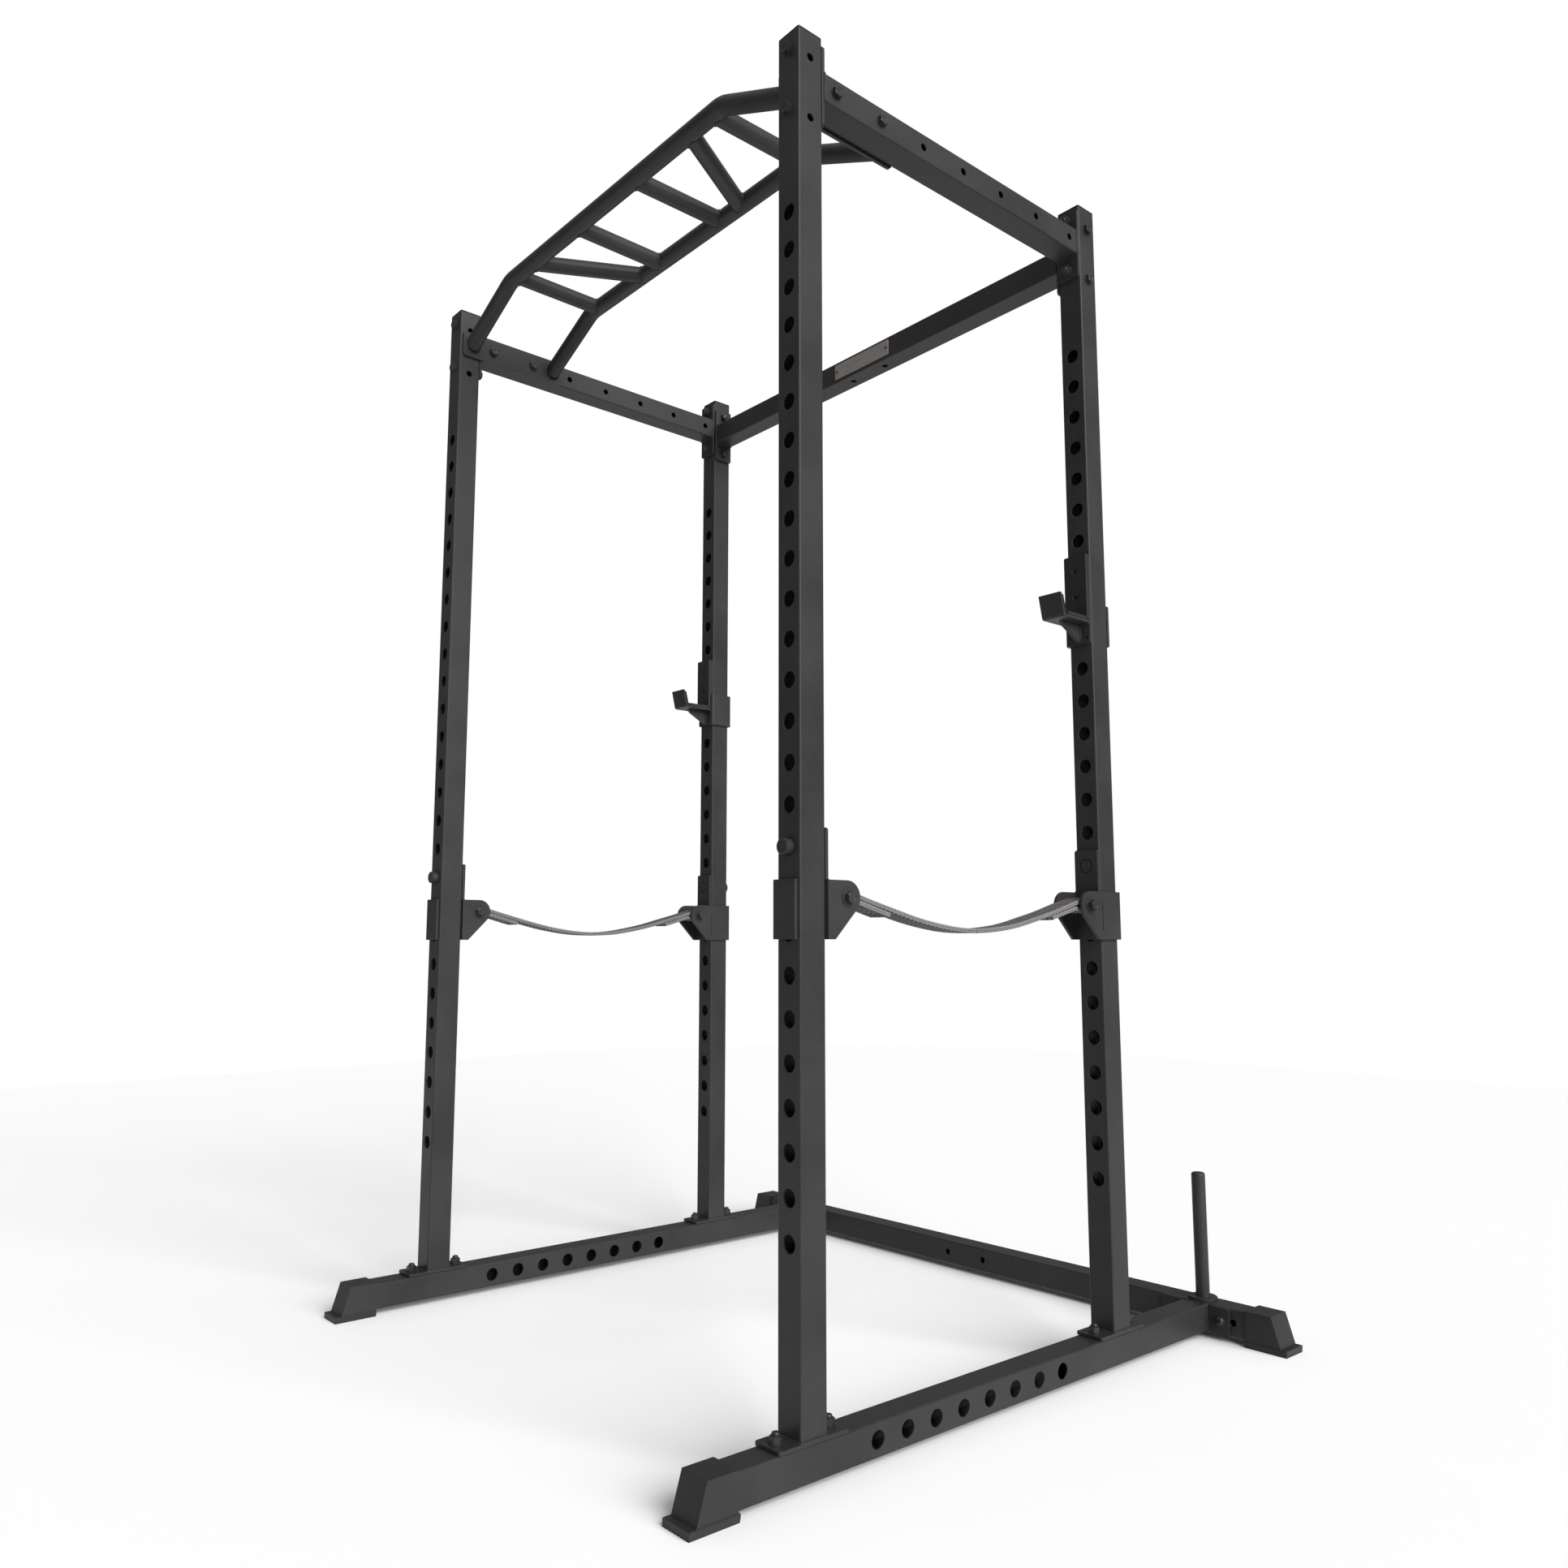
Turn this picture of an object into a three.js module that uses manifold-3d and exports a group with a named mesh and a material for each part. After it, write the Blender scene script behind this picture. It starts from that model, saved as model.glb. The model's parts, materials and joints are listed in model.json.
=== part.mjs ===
// Power cage: four square-tube uprights on two base runners, tied by top beams, a rear base
// crossbar and a rear top crossbar, with a multi-grip pull-up bar, two J-hooks, two webbing
// safety straps on roll-in brackets and two storage pins. Millimetres, +Z up, front faces -Y.
// The origin is on the floor, in the middle of the cage's outline.
import * as THREE from 'three';
import { mergeVertices } from 'three/addons/utils/BufferGeometryUtils.js';
import Module from 'manifold-3d';

const wasm = await Module();
wasm.setup();

// ---- Driving dimensions ----
const TUBE = 50; // outside size of every square tube
const HALF = TUBE / 2;
const WALL = 3; // wall of the square tubes
const PLATE = 6; // steel plate of flanges and brackets
const GAP = 0.3; // clearance between pieces that touch
const POST_X = 584.5; // upright centres, left and right of the middle
const POST_Y = 367; // upright centres, in front of and behind the middle
const RUNNER_BOTTOM = 12; // underside of the base tubes above the floor
const RUNNER_TOP = RUNNER_BOTTOM + TUBE;
const BASE_TOP = RUNNER_TOP + GAP + PLATE; // top of the uprights' base plates
const POST_TOP = 2185;

// Adjusting holes, front to back through the uprights
const HOLE_R = 13;
const HOLE_PITCH = 62.2;
const HOLE_COUNT = 26;
const HOLE_TOP_Z = 1881.3; // centre of the topmost hole
const J_HOOK_HOLE = 7; // holes below the topmost one
const STRAP_HOLE = 16;

// Bolted joints
const BOLT_R = 6;
const BOLT_HOLE_R = 6.6;
const BOLT_SPREAD = 51.8; // from the middle of a flange to each bolt
const FLANGE_HALF = 70;
const HEAD_R = 9.9; // hex heads and nuts, across corners / 2
const LOW_HEAD_R = 10; // the round heads under the runners
const LOW_HEAD_H = 3.4;
const HEAD_H = 7.5;
const NUT_H = 10;

// Base
const RUNNER_Z = RUNNER_BOTTOM + HALF;
const RUNNER_FRONT_Y = -546;
const REAR_BAR_Y = 673; // centre of the rear base crossbar
const REAR_BAR_HALF = 729;
const RUNNER_REAR_Y = REAR_BAR_Y - HALF - GAP;
const PEG_HOLE_FIRST_Y = -243; // first of the eight peg holes in each runner
const PEG_HOLE_COUNT = 8;
const BASE_PLATE_HALF_X = 27;
const BASE_PLATE_HALF_Y = 65;
const BASE_STUD_Y = 49; // from the upright's centre to each base bolt
const BASE_STUD_TOP = 84.5;
const OUTER_HOLE_X = 75; // extra hole in the crossbar, outboard of each runner
const FOOT_OVERLAP = 44; // base tube inside a foot cap
const FOOT_LENGTH = 52; // top of a foot cap, before its sloped nose
const FOOT_SLOPE = 18;
const FOOT_HALF = 28;
const FOOT_TOP = 65.3;
const PAD_HALF = 30;
const PAD_NOSE = 11;

// Top
const BEAM_Z = 2107.6; // centre of the side beams
const REAR_TOP_Z = 2091.5; // centre of the rear top crossbar
const BEAM_HOLE_PITCH = 103.6;
const BEAM_HOLE_COUNT = 7;
const PLATE_NAME_X = 88;
const PLATE_NAME_Z = 18;
const PLATE_NAME_T = 1.5;

// Pull-up bar
const BAR_R = 17;
const BAR_BORE = 14.5;
const BAR_SIDES = 8;
const RUNG_R = 16.5;
const RUNG_BORE = 14;
const BAR_Y = -2.5 * BEAM_HOLE_PITCH; // midway between the two bars
const BAR_SPREAD = BEAM_HOLE_PITCH; // from there to each bar
const BAR_Z = 2189.6;
const BAR_BEND_X = 378;
const BAR_BEND_REACH = 30; // straight tube lost on each side of a bend
const BAR_PLATE_HALF_Y = 127;
const BAR_PLATE_HALF_Z = 29;
const RUNG_OUTER_X = 351.5;
const RUNG_ANGLED_X = 225;
const RUNG_ANGLED_RUN = 56.5; // sideways run of an angled rung over half its length
const RUNG_MIDDLE_X = 103.6;

// Storage pins
const PIN_R = 13;
const PIN_TOP = 299;
const PIN_CHAMFER = 4;
const COLLAR_R = 27;
const COLLAR_H = 5;

// J-hooks, measured from the pin and from the upright's front face
const HOOK_PIN_R = 12.5;
const HOOK_TOP = 30.5; // above the pin
const HOOK_BOTTOM = 141.5; // below the pin
const HOOK_WRAP_TOP = 61;
const HOOK_PIN_REACH = TUBE - 2; // ends just inside the far wall
const LINER = 6;
const LIP_LINER = 4;
const SEAT_TOP = 92; // cradle surface below the pin
const SEAT_END = 84; // reach of the cradle from the upright
const LIP_RISE = 39;
const LIP_LEAN = 10.5;
const SEAT_STEEL = 5.5;
const LIP_STEEL = 4.5;

// Strap brackets, measured the same way
const TALL_TOP = 30;
const CHEEK_TOP = 47.5;
const CHEEK_BOTTOM = 134.7;
const CHEEK_BOLT_OUT = 40;
const CHEEK_BOLT_DOWN = 73.2;
const CHEEK_R = CHEEK_BOLT_DOWN - CHEEK_TOP;
const KNOB = 14; // pin beyond the far face of the upright
const FAR_TAB_SHORT = 4.5;

// Safety straps
const STRAP_HALF = 22;
const PLY = 7.8; // one thickness of webbing
const STRAP_SAG = 57.8; // from the top of the bolt
const STRAP_STIFFNESS = 0.3; // 0 hangs as a parabola, 1 leaves its bolts level
const STRAP_DOUBLE = 102; // length of the doubled end, from the bolt
const STRAP_SPLIT = 29; // from the bolt to where the end piece meets the span

const TAU = Math.PI * 2;

// ---- Materials ----
const coat = () => new THREE.MeshStandardMaterial({ color: 0x3d3e40, roughness: 0.62, metalness: 0.25 });
const zinc = () => new THREE.MeshStandardMaterial({ color: 0x303133, roughness: 0.42, metalness: 0.7 });
const rubber = () => new THREE.MeshStandardMaterial({ color: 0x2b2b2c, roughness: 0.85, metalness: 0 });
const plastic = () => new THREE.MeshStandardMaterial({ color: 0x242425, roughness: 0.6, metalness: 0 });
const webbing = () => new THREE.MeshStandardMaterial({ color: 0x7c7b7a, roughness: 0.9, metalness: 0 });
const taupe = () => new THREE.MeshStandardMaterial({ color: 0x8a7f78, roughness: 0.4, metalness: 0.8 });

// ---- Solids ----
function solid(geometry) {
  const bare = geometry.index ? geometry.toNonIndexed() : geometry.clone();
  bare.deleteAttribute('normal');
  bare.deleteAttribute('uv');
  const merged = mergeVertices(bare, 1e-4);
  return new wasm.Manifold(new wasm.Mesh({
    numProp: 3,
    vertProperties: Float32Array.from(merged.attributes.position.array),
    triVerts: Uint32Array.from(merged.index.array),
  }));
}

function box(x0, x1, y0, y1, z0, z1) {
  const geometry = new THREE.BoxGeometry(x1 - x0, y1 - y0, z1 - z0);
  geometry.translate((x0 + x1) / 2, (y0 + y1) / 2, (z0 + z1) / 2);
  return solid(geometry);
}

// A rod from one point to another; rolled half a side, so that its flats face the axes.
function rod(from, to, radius, sides) {
  const span = to.clone().sub(from);
  const geometry = new THREE.CylinderGeometry(radius, radius, span.length(), sides);
  geometry.rotateY(Math.PI / sides);
  geometry.applyQuaternion(new THREE.Quaternion().setFromUnitVectors(
    new THREE.Vector3(0, 1, 0), span.clone().normalize()));
  const middle = from.clone().add(to).multiplyScalar(0.5);
  geometry.translate(middle.x, middle.y, middle.z);
  return solid(geometry);
}

const at = (x, y, z) => new THREE.Vector3(x, y, z);
const rodX = (x0, x1, y, z, radius, sides = 8) => rod(at(x0, y, z), at(x1, y, z), radius, sides);
const rodY = (y0, y1, x, z, radius, sides = 8) => rod(at(x, y0, z), at(x, y1, z), radius, sides);
const rodZ = (z0, z1, x, y, radius, sides = 8) => rod(at(x, y, z0), at(x, y, z1), radius, sides);

// Radius of a hole with this many sides whose flats touch a circle.
const around = (radius, sides = 8) => radius / Math.cos(Math.PI / sides);

// An outline in the YZ plane, given as [y, z] points, pushed out along X.
function slabX(outline, x0, x1) {
  const shape = new THREE.Shape(outline.map(([y, z]) => new THREE.Vector2(y, z)));
  const geometry = new THREE.ExtrudeGeometry(shape, { depth: x1 - x0, bevelEnabled: false });
  const turn = new THREE.Matrix4().makeBasis(at(0, 1, 0), at(0, 0, 1), at(1, 0, 0));
  geometry.applyMatrix4(turn);
  geometry.translate(x0, 0, 0);
  return solid(geometry);
}

const join = (pieces) => pieces.reduce((whole, piece) => whole.add(piece));
const cut = (whole, pieces) => pieces.reduce((rest, piece) => rest.subtract(piece), whole);

function mesh(name, body, material) {
  const { vertProperties, triVerts, numProp } = body.getMesh();
  const points = [];
  for (let i = 0; i < vertProperties.length; i += numProp) {
    points.push(vertProperties[i], vertProperties[i + 1], vertProperties[i + 2]);
  }
  const geometry = new THREE.BufferGeometry();
  geometry.setAttribute('position', new THREE.Float32BufferAttribute(points, 3));
  geometry.setIndex(Array.from(triVerts));
  geometry.computeVertexNormals();
  const result = new THREE.Mesh(geometry, material);
  result.name = name;
  return result;
}

// The pieces are drawn with y = 0 midway between the uprights; the cage's outline reaches from
// the front feet's noses to the rear feet's backs, and the origin is midway between those.
const FRONT_REACH = RUNNER_FRONT_Y + FOOT_OVERLAP - FOOT_LENGTH - FOOT_SLOPE - PAD_NOSE;
const REAR_REACH = REAR_BAR_Y + PAD_HALF;
const cage = new THREE.Group();
cage.position.set(0, -(FRONT_REACH + REAR_REACH) / 2, 0);

// A piece is drawn for the right-hand side and mirrored for the left.
function mirrored(body) {
  return body.mirror([1, 0, 0]);
}

const SIDES = [
  { name: 'right', sign: 1 },
  { name: 'left', sign: -1 },
];
const ENDS = [
  { name: 'front', sign: -1 },
  { name: 'rear', sign: 1 },
];

function addSided(name, body, material) {
  cage.add(mesh(`${name}_right`, body, material()));
  cage.add(mesh(`${name}_left`, mirrored(body), material()));
}

// ---- Uprights ----
// The tube is open at the top; its plug is a piece of its own. All four are alike.
function upright() {
  const tube = box(-HALF, HALF, -HALF, HALF, BASE_TOP - PLATE, POST_TOP);
  const plate = box(-BASE_PLATE_HALF_X, BASE_PLATE_HALF_X, -BASE_PLATE_HALF_Y, BASE_PLATE_HALF_Y,
    BASE_TOP - PLATE, BASE_TOP);
  const inner = HALF - WALL;
  const cuts = [box(-inner, inner, -inner, inner, BASE_TOP, POST_TOP + 1)];
  for (let i = 0; i < HOLE_COUNT; i += 1) {
    cuts.push(rodY(-HALF - 1, HALF + 1, 0, HOLE_TOP_Z - i * HOLE_PITCH, around(HOLE_R)));
  }
  for (const side of [-1, 1]) {
    const small = around(BOLT_HOLE_R, 6);
    cuts.push(rodY(-HALF - 1, HALF + 1, 0, BEAM_Z + side * BOLT_SPREAD, small, 6));
    cuts.push(rodX(-HALF - 1, HALF + 1, 0, REAR_TOP_Z + side * BOLT_SPREAD, small, 6));
    cuts.push(rodZ(RUNNER_TOP, BASE_TOP + 1, 0, side * BASE_STUD_Y, small, 6));
  }
  return cut(join([tube, plate]), cuts);
}

function postPlug() {
  const inner = HALF - WALL - GAP;
  const skirt = box(-inner, inner, -inner, inner, POST_TOP - 14, POST_TOP + GAP);
  const lid = box(-HALF, HALF, -HALF, HALF, POST_TOP + GAP, POST_TOP + GAP + 3);
  return join([skirt, lid]);
}

function addUprights() {
  for (const end of ENDS) {
    for (const side of SIDES) {
      const place = [side.sign * POST_X, end.sign * POST_Y, 0];
      cage.add(mesh(`upright_${end.name}_${side.name}`, upright().translate(place), coat()));
      cage.add(mesh(`upright_plug_${end.name}_${side.name}`, postPlug().translate(place), plastic()));
    }
  }
}

// ---- Base ----
function baseRunner() {
  const inner = HALF - WALL;
  const flange = box(POST_X - FLANGE_HALF, POST_X + FLANGE_HALF,
    RUNNER_REAR_Y - PLATE, RUNNER_REAR_Y, RUNNER_BOTTOM, RUNNER_TOP);
  const tube = box(POST_X - HALF, POST_X + HALF, RUNNER_FRONT_Y, RUNNER_REAR_Y - PLATE / 2,
    RUNNER_BOTTOM, RUNNER_TOP);
  const cuts = [box(POST_X - inner, POST_X + inner, RUNNER_FRONT_Y - 1, RUNNER_REAR_Y - PLATE,
    RUNNER_BOTTOM + WALL, RUNNER_TOP - WALL)];
  for (let i = 0; i < PEG_HOLE_COUNT; i += 1) {
    cuts.push(rodX(POST_X - HALF - 1, POST_X + HALF + 1, PEG_HOLE_FIRST_Y + i * HOLE_PITCH,
      RUNNER_Z, around(HOLE_R)));
  }
  const small = around(BOLT_HOLE_R, 6);
  for (const end of ENDS) {
    for (const side of [-1, 1]) {
      cuts.push(rodZ(RUNNER_BOTTOM - 1, RUNNER_TOP + 1, POST_X,
        end.sign * POST_Y + side * BASE_STUD_Y, small, 6));
    }
  }
  for (const side of [-1, 1]) {
    cuts.push(rodY(RUNNER_REAR_Y - PLATE - 1, RUNNER_REAR_Y + 1,
      POST_X + side * BOLT_SPREAD, RUNNER_Z, small, 6));
  }
  return cut(join([tube, flange]), cuts);
}

function baseCrossbar() {
  const inner = HALF - WALL;
  const tube = box(-REAR_BAR_HALF, REAR_BAR_HALF, REAR_BAR_Y - HALF, REAR_BAR_Y + HALF,
    RUNNER_BOTTOM, RUNNER_TOP);
  const cuts = [box(-REAR_BAR_HALF - 1, REAR_BAR_HALF + 1, REAR_BAR_Y - inner, REAR_BAR_Y + inner,
    RUNNER_BOTTOM + WALL, RUNNER_TOP - WALL)];
  const small = around(BOLT_HOLE_R, 6);
  for (const side of SIDES) {
    for (const x of [POST_X - BOLT_SPREAD, POST_X + BOLT_SPREAD]) {
      cuts.push(rodY(REAR_BAR_Y - HALF - 1, REAR_BAR_Y + HALF + 1, side.sign * x, RUNNER_Z, small, 6));
    }
    for (const x of [BOLT_SPREAD, POST_X + OUTER_HOLE_X]) {
      cuts.push(rodY(REAR_BAR_Y - HALF - 1, REAR_BAR_Y, side.sign * x, RUNNER_Z, small, 6));
    }
    cuts.push(rodZ(RUNNER_BOTTOM - 1, RUNNER_TOP + 1, side.sign * POST_X, REAR_BAR_Y, small, 6));
  }
  return cut(tube, cuts);
}

// A rubber cap, drawn over the front end of a base tube that runs along Y.
function footCap() {
  const mouth = RUNNER_FRONT_Y + FOOT_OVERLAP;
  const nose = mouth - FOOT_LENGTH;
  const padTop = RUNNER_BOTTOM - GAP;
  const bodyOutline = [[mouth, 0], [mouth, FOOT_TOP], [nose, FOOT_TOP], [nose - FOOT_SLOPE, padTop],
    [nose - FOOT_SLOPE, 0]];
  const body = slabX(bodyOutline, -FOOT_HALF, FOOT_HALF);
  const pad = box(-PAD_HALF, PAD_HALF, nose - FOOT_SLOPE - PAD_NOSE, mouth + 2, 0, padTop);
  const room = HALF + GAP;
  const pocket = box(-room, room, RUNNER_FRONT_Y - GAP, mouth + 3, padTop, RUNNER_TOP + GAP);
  return cut(join([body, pad]), [pocket]);
}

function addBase() {
  addSided('base_runner', baseRunner(), coat);
  cage.add(mesh('base_crossbar_rear', baseCrossbar(), coat()));
  addSided('foot_cap_front', footCap().translate([POST_X, 0, 0]), rubber);
  // The same cap turned a quarter turn, on the end of the rear crossbar.
  const turned = footCap().rotate([0, 0, 90]);
  addSided('foot_cap_rear', turned.translate([REAR_BAR_HALF + RUNNER_FRONT_Y, REAR_BAR_Y, 0]), rubber);
}

// A turned rod on a collar, held by a stud and nut through the crossbar.
function storagePin() {
  const bottom = RUNNER_TOP + GAP;
  const profile = [[0, bottom], [COLLAR_R, bottom], [COLLAR_R, bottom + COLLAR_H],
    [PIN_R, bottom + COLLAR_H], [PIN_R, PIN_TOP - PIN_CHAMFER], [PIN_R - PIN_CHAMFER, PIN_TOP],
    [0, PIN_TOP]];
  const lathe = new THREE.LatheGeometry(profile.map(([r, z]) => new THREE.Vector2(r, z)), 16);
  lathe.rotateX(Math.PI / 2);
  lathe.translate(POST_X, REAR_BAR_Y, 0);
  const stud = rodZ(4, bottom + 1, POST_X, REAR_BAR_Y, BOLT_R, 6);
  const nut = rodZ(4, RUNNER_BOTTOM - GAP, POST_X, REAR_BAR_Y, HEAD_R, 6);
  return join([solid(lathe), stud, nut]);
}

// ---- Top ----
function flangeY(x, y0, z, halfX = HALF) {
  return box(x - halfX, x + halfX, y0, y0 + PLATE, z - FLANGE_HALF, z + FLANGE_HALF);
}

function topBeam() {
  const end = POST_Y - HALF - GAP;
  const inner = HALF - WALL;
  const tube = box(POST_X - HALF, POST_X + HALF, -end + 1, end - 1, BEAM_Z - HALF, BEAM_Z + HALF);
  const whole = join([tube, flangeY(POST_X, -end, BEAM_Z), flangeY(POST_X, end - PLATE, BEAM_Z)]);
  const cuts = [box(POST_X - inner, POST_X + inner, -end + PLATE, end - PLATE,
    BEAM_Z - inner, BEAM_Z + inner)];
  const small = around(BOLT_HOLE_R, 6);
  for (let i = 0; i < BEAM_HOLE_COUNT; i += 1) {
    const y = (i - (BEAM_HOLE_COUNT - 1) / 2) * BEAM_HOLE_PITCH;
    cuts.push(rodX(POST_X - HALF - 1, POST_X + HALF + 1, y, BEAM_Z, small, 6));
  }
  for (const side of [-1, 1]) {
    const z = BEAM_Z + side * BOLT_SPREAD;
    cuts.push(rodY(-end - 1, -end + PLATE + 1, POST_X, z, small, 6));
    cuts.push(rodY(end - PLATE - 1, end + 1, POST_X, z, small, 6));
  }
  return cut(whole, cuts);
}

function topCrossbar() {
  const end = POST_X - HALF - GAP;
  const inner = HALF - WALL;
  const tube = box(-end + 1, end - 1, POST_Y - HALF, POST_Y + HALF,
    REAR_TOP_Z - HALF, REAR_TOP_Z + HALF);
  const small = around(BOLT_HOLE_R, 6);
  const pieces = [tube];
  const cuts = [box(-end + PLATE, end - PLATE, POST_Y - inner, POST_Y + inner,
    REAR_TOP_Z - inner, REAR_TOP_Z + inner)];
  for (const side of SIDES) {
    const face = side.sign * end;
    const back = side.sign * (end - PLATE);
    pieces.push(box(Math.min(face, back), Math.max(face, back), POST_Y - HALF, POST_Y + HALF,
      REAR_TOP_Z - FLANGE_HALF, REAR_TOP_Z + FLANGE_HALF));
    for (const up of [-1, 1]) {
      cuts.push(rodX(Math.min(face, back) - 1, Math.max(face, back) + 1, POST_Y,
        REAR_TOP_Z + up * BOLT_SPREAD, small, 6));
    }
    cuts.push(rodZ(REAR_TOP_Z - HALF - 1, REAR_TOP_Z, side.sign * BOLT_SPREAD, POST_Y, small, 6));
  }
  return cut(join(pieces), cuts);
}

function namePlate() {
  const back = POST_Y - HALF - GAP;
  return box(-PLATE_NAME_X, PLATE_NAME_X, back - PLATE_NAME_T, back,
    REAR_TOP_Z - PLATE_NAME_Z, REAR_TOP_Z + PLATE_NAME_Z);
}

function addTop() {
  addSided('top_beam', topBeam(), coat);
  cage.add(mesh('top_crossbar_rear', topCrossbar(), coat()));
  cage.add(mesh('name_plate', namePlate(), taupe()));
}

// ---- Pull-up bar ----
// A path that an extrusion follows with one step along each line and a few round each bend.
class SteppedPath extends THREE.CurvePath {
  constructor(curves, stepsOf) {
    super();
    curves.forEach((curve) => this.add(curve));
    const lengths = this.getCurveLengths();
    const whole = lengths[lengths.length - 1];
    this.stops = [0];
    curves.forEach((curve, i) => {
      const start = i === 0 ? 0 : lengths[i - 1];
      for (let step = 1; step <= stepsOf[i]; step += 1) {
        this.stops.push((start + ((lengths[i] - start) * step) / stepsOf[i]) / whole);
      }
    });
  }

  stop(u) {
    return this.stops[Math.round(u * (this.stops.length - 1))];
  }

  getPointAt(u, target) {
    return this.getPoint(this.stop(u), target);
  }

  getTangentAt(u, target) {
    return this.getTangent(this.stop(u), target);
  }
}

// One bent tube: straight across the middle, sloping down to a plate at each end.
function bentBar(y, radius, reach) {
  const slope = (BAR_Z - BEAM_Z) / (POST_X - HALF - GAP - PLATE - BAR_BEND_X);
  const endX = POST_X - HALF - GAP - PLATE + reach;
  const endZ = BAR_Z - slope * (endX - BAR_BEND_X);
  const lean = Math.atan(slope);
  const corner = at(BAR_BEND_X, y, BAR_Z);
  const outer = at(BAR_BEND_X + BAR_BEND_REACH * Math.cos(lean), y,
    BAR_Z - BAR_BEND_REACH * Math.sin(lean));
  const inner = at(BAR_BEND_X - BAR_BEND_REACH, y, BAR_Z);
  const flip = (p) => at(-p.x, p.y, p.z);
  const start = at(-endX, y, endZ);
  const path = new SteppedPath([
    new THREE.LineCurve3(start, flip(outer)),
    new THREE.QuadraticBezierCurve3(flip(outer), flip(corner), flip(inner)),
    new THREE.LineCurve3(flip(inner), inner),
    new THREE.QuadraticBezierCurve3(inner, corner, outer),
    new THREE.LineCurve3(outer, flip(start)),
  ], [1, 3, 1, 3, 1]);
  const section = new THREE.Shape();
  for (let i = 0; i < BAR_SIDES; i += 1) {
    const turn = ((i + 0.5) / BAR_SIDES) * TAU;
    const point = [radius * Math.cos(turn), radius * Math.sin(turn)];
    if (i === 0) section.moveTo(...point);
    else section.lineTo(...point);
  }
  const steps = path.stops.length - 1;
  return solid(new THREE.ExtrudeGeometry(section, { steps, bevelEnabled: false, extrudePath: path }));
}

// The six hand grips between the bars, as [x at the front bar, x at the rear bar].
const RUNGS = [
  [-RUNG_OUTER_X, -RUNG_OUTER_X],
  [-RUNG_ANGLED_X - RUNG_ANGLED_RUN, -RUNG_ANGLED_X + RUNG_ANGLED_RUN],
  [-RUNG_MIDDLE_X, -RUNG_MIDDLE_X],
  [RUNG_MIDDLE_X, RUNG_MIDDLE_X],
  [RUNG_ANGLED_X + RUNG_ANGLED_RUN, RUNG_ANGLED_X - RUNG_ANGLED_RUN],
  [RUNG_OUTER_X, RUNG_OUTER_X],
];

// Every bore runs into the next and out through the end plates, so nothing is sealed.
function pullUpBar() {
  const outside = [];
  const bores = [];
  for (const side of [-1, 1]) {
    outside.push(bentBar(BAR_Y + side * BAR_SPREAD, BAR_R, 1));
    bores.push(bentBar(BAR_Y + side * BAR_SPREAD, BAR_BORE, PLATE + 2));
  }
  for (const [front, rear] of RUNGS) {
    const from = at(front, BAR_Y - BAR_SPREAD, BAR_Z);
    const to = at(rear, BAR_Y + BAR_SPREAD, BAR_Z);
    outside.push(rod(from, to, RUNG_R, BAR_SIDES));
    bores.push(rod(from, to, RUNG_BORE, BAR_SIDES));
  }
  const holes = [];
  for (const side of SIDES) {
    const face = side.sign * (POST_X - HALF - GAP);
    const back = side.sign * (POST_X - HALF - GAP - PLATE);
    outside.push(box(Math.min(face, back), Math.max(face, back),
      BAR_Y - BAR_PLATE_HALF_Y, BAR_Y + BAR_PLATE_HALF_Y,
      BEAM_Z - BAR_PLATE_HALF_Z, BEAM_Z + BAR_PLATE_HALF_Z));
    for (const up of [-0.5, 0.5]) {
      holes.push(rodX(Math.min(face, back) - 1, Math.max(face, back) + 1,
        BAR_Y + up * BEAM_HOLE_PITCH, BEAM_Z, around(BOLT_HOLE_R, 6), 6));
    }
  }
  const reach = POST_X - HALF - GAP;
  const between = box(-reach, reach, BAR_Y - POST_Y, BAR_Y + POST_Y, BEAM_Z - POST_Y, BAR_Z + POST_Y);
  return cut(join(outside).intersect(between), [join(bores), ...holes]);
}

// ---- Fasteners ----
// A bolt with its nut, along +Y from the head's bearing face to the nut's.
function boltSet(grip, tail, low = false) {
  const head = low ? rodY(-LOW_HEAD_H - GAP, -GAP, 0, 0, LOW_HEAD_R, 12)
    : rodY(-HEAD_H - GAP, -GAP, 0, 0, HEAD_R, 6);
  const shank = rodY(-GAP - 1, grip + GAP + NUT_H + tail, 0, 0, BOLT_R, 6);
  const nut = rodY(grip + GAP, grip + GAP + NUT_H, 0, 0, HEAD_R, 6);
  return join([head, shank, nut]);
}

function addTopBolts() {
  const grip = TUBE + GAP + PLATE;
  for (const side of SIDES) {
    for (const end of ENDS) {
      for (const [level, up] of [['upper', 1], ['lower', -1]]) {
        const turn = end.sign < 0 ? 0 : 180;
        const bolt = boltSet(grip, 3).rotate([0, 0, turn]).translate([side.sign * POST_X,
          end.sign * (POST_Y + HALF), BEAM_Z + up * BOLT_SPREAD]);
        cage.add(mesh(`beam_bolt_${end.name}_${side.name}_${level}`, bolt, zinc()));
      }
    }
    for (const [level, up] of [['upper', 1], ['lower', -1]]) {
      const bolt = boltSet(grip, 3).rotate([0, 0, side.sign * 90]).translate([
        side.sign * (POST_X + HALF), POST_Y, REAR_TOP_Z + up * BOLT_SPREAD]);
      cage.add(mesh(`crossbar_bolt_${side.name}_${level}`, bolt, zinc()));
    }
  }
}

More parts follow.
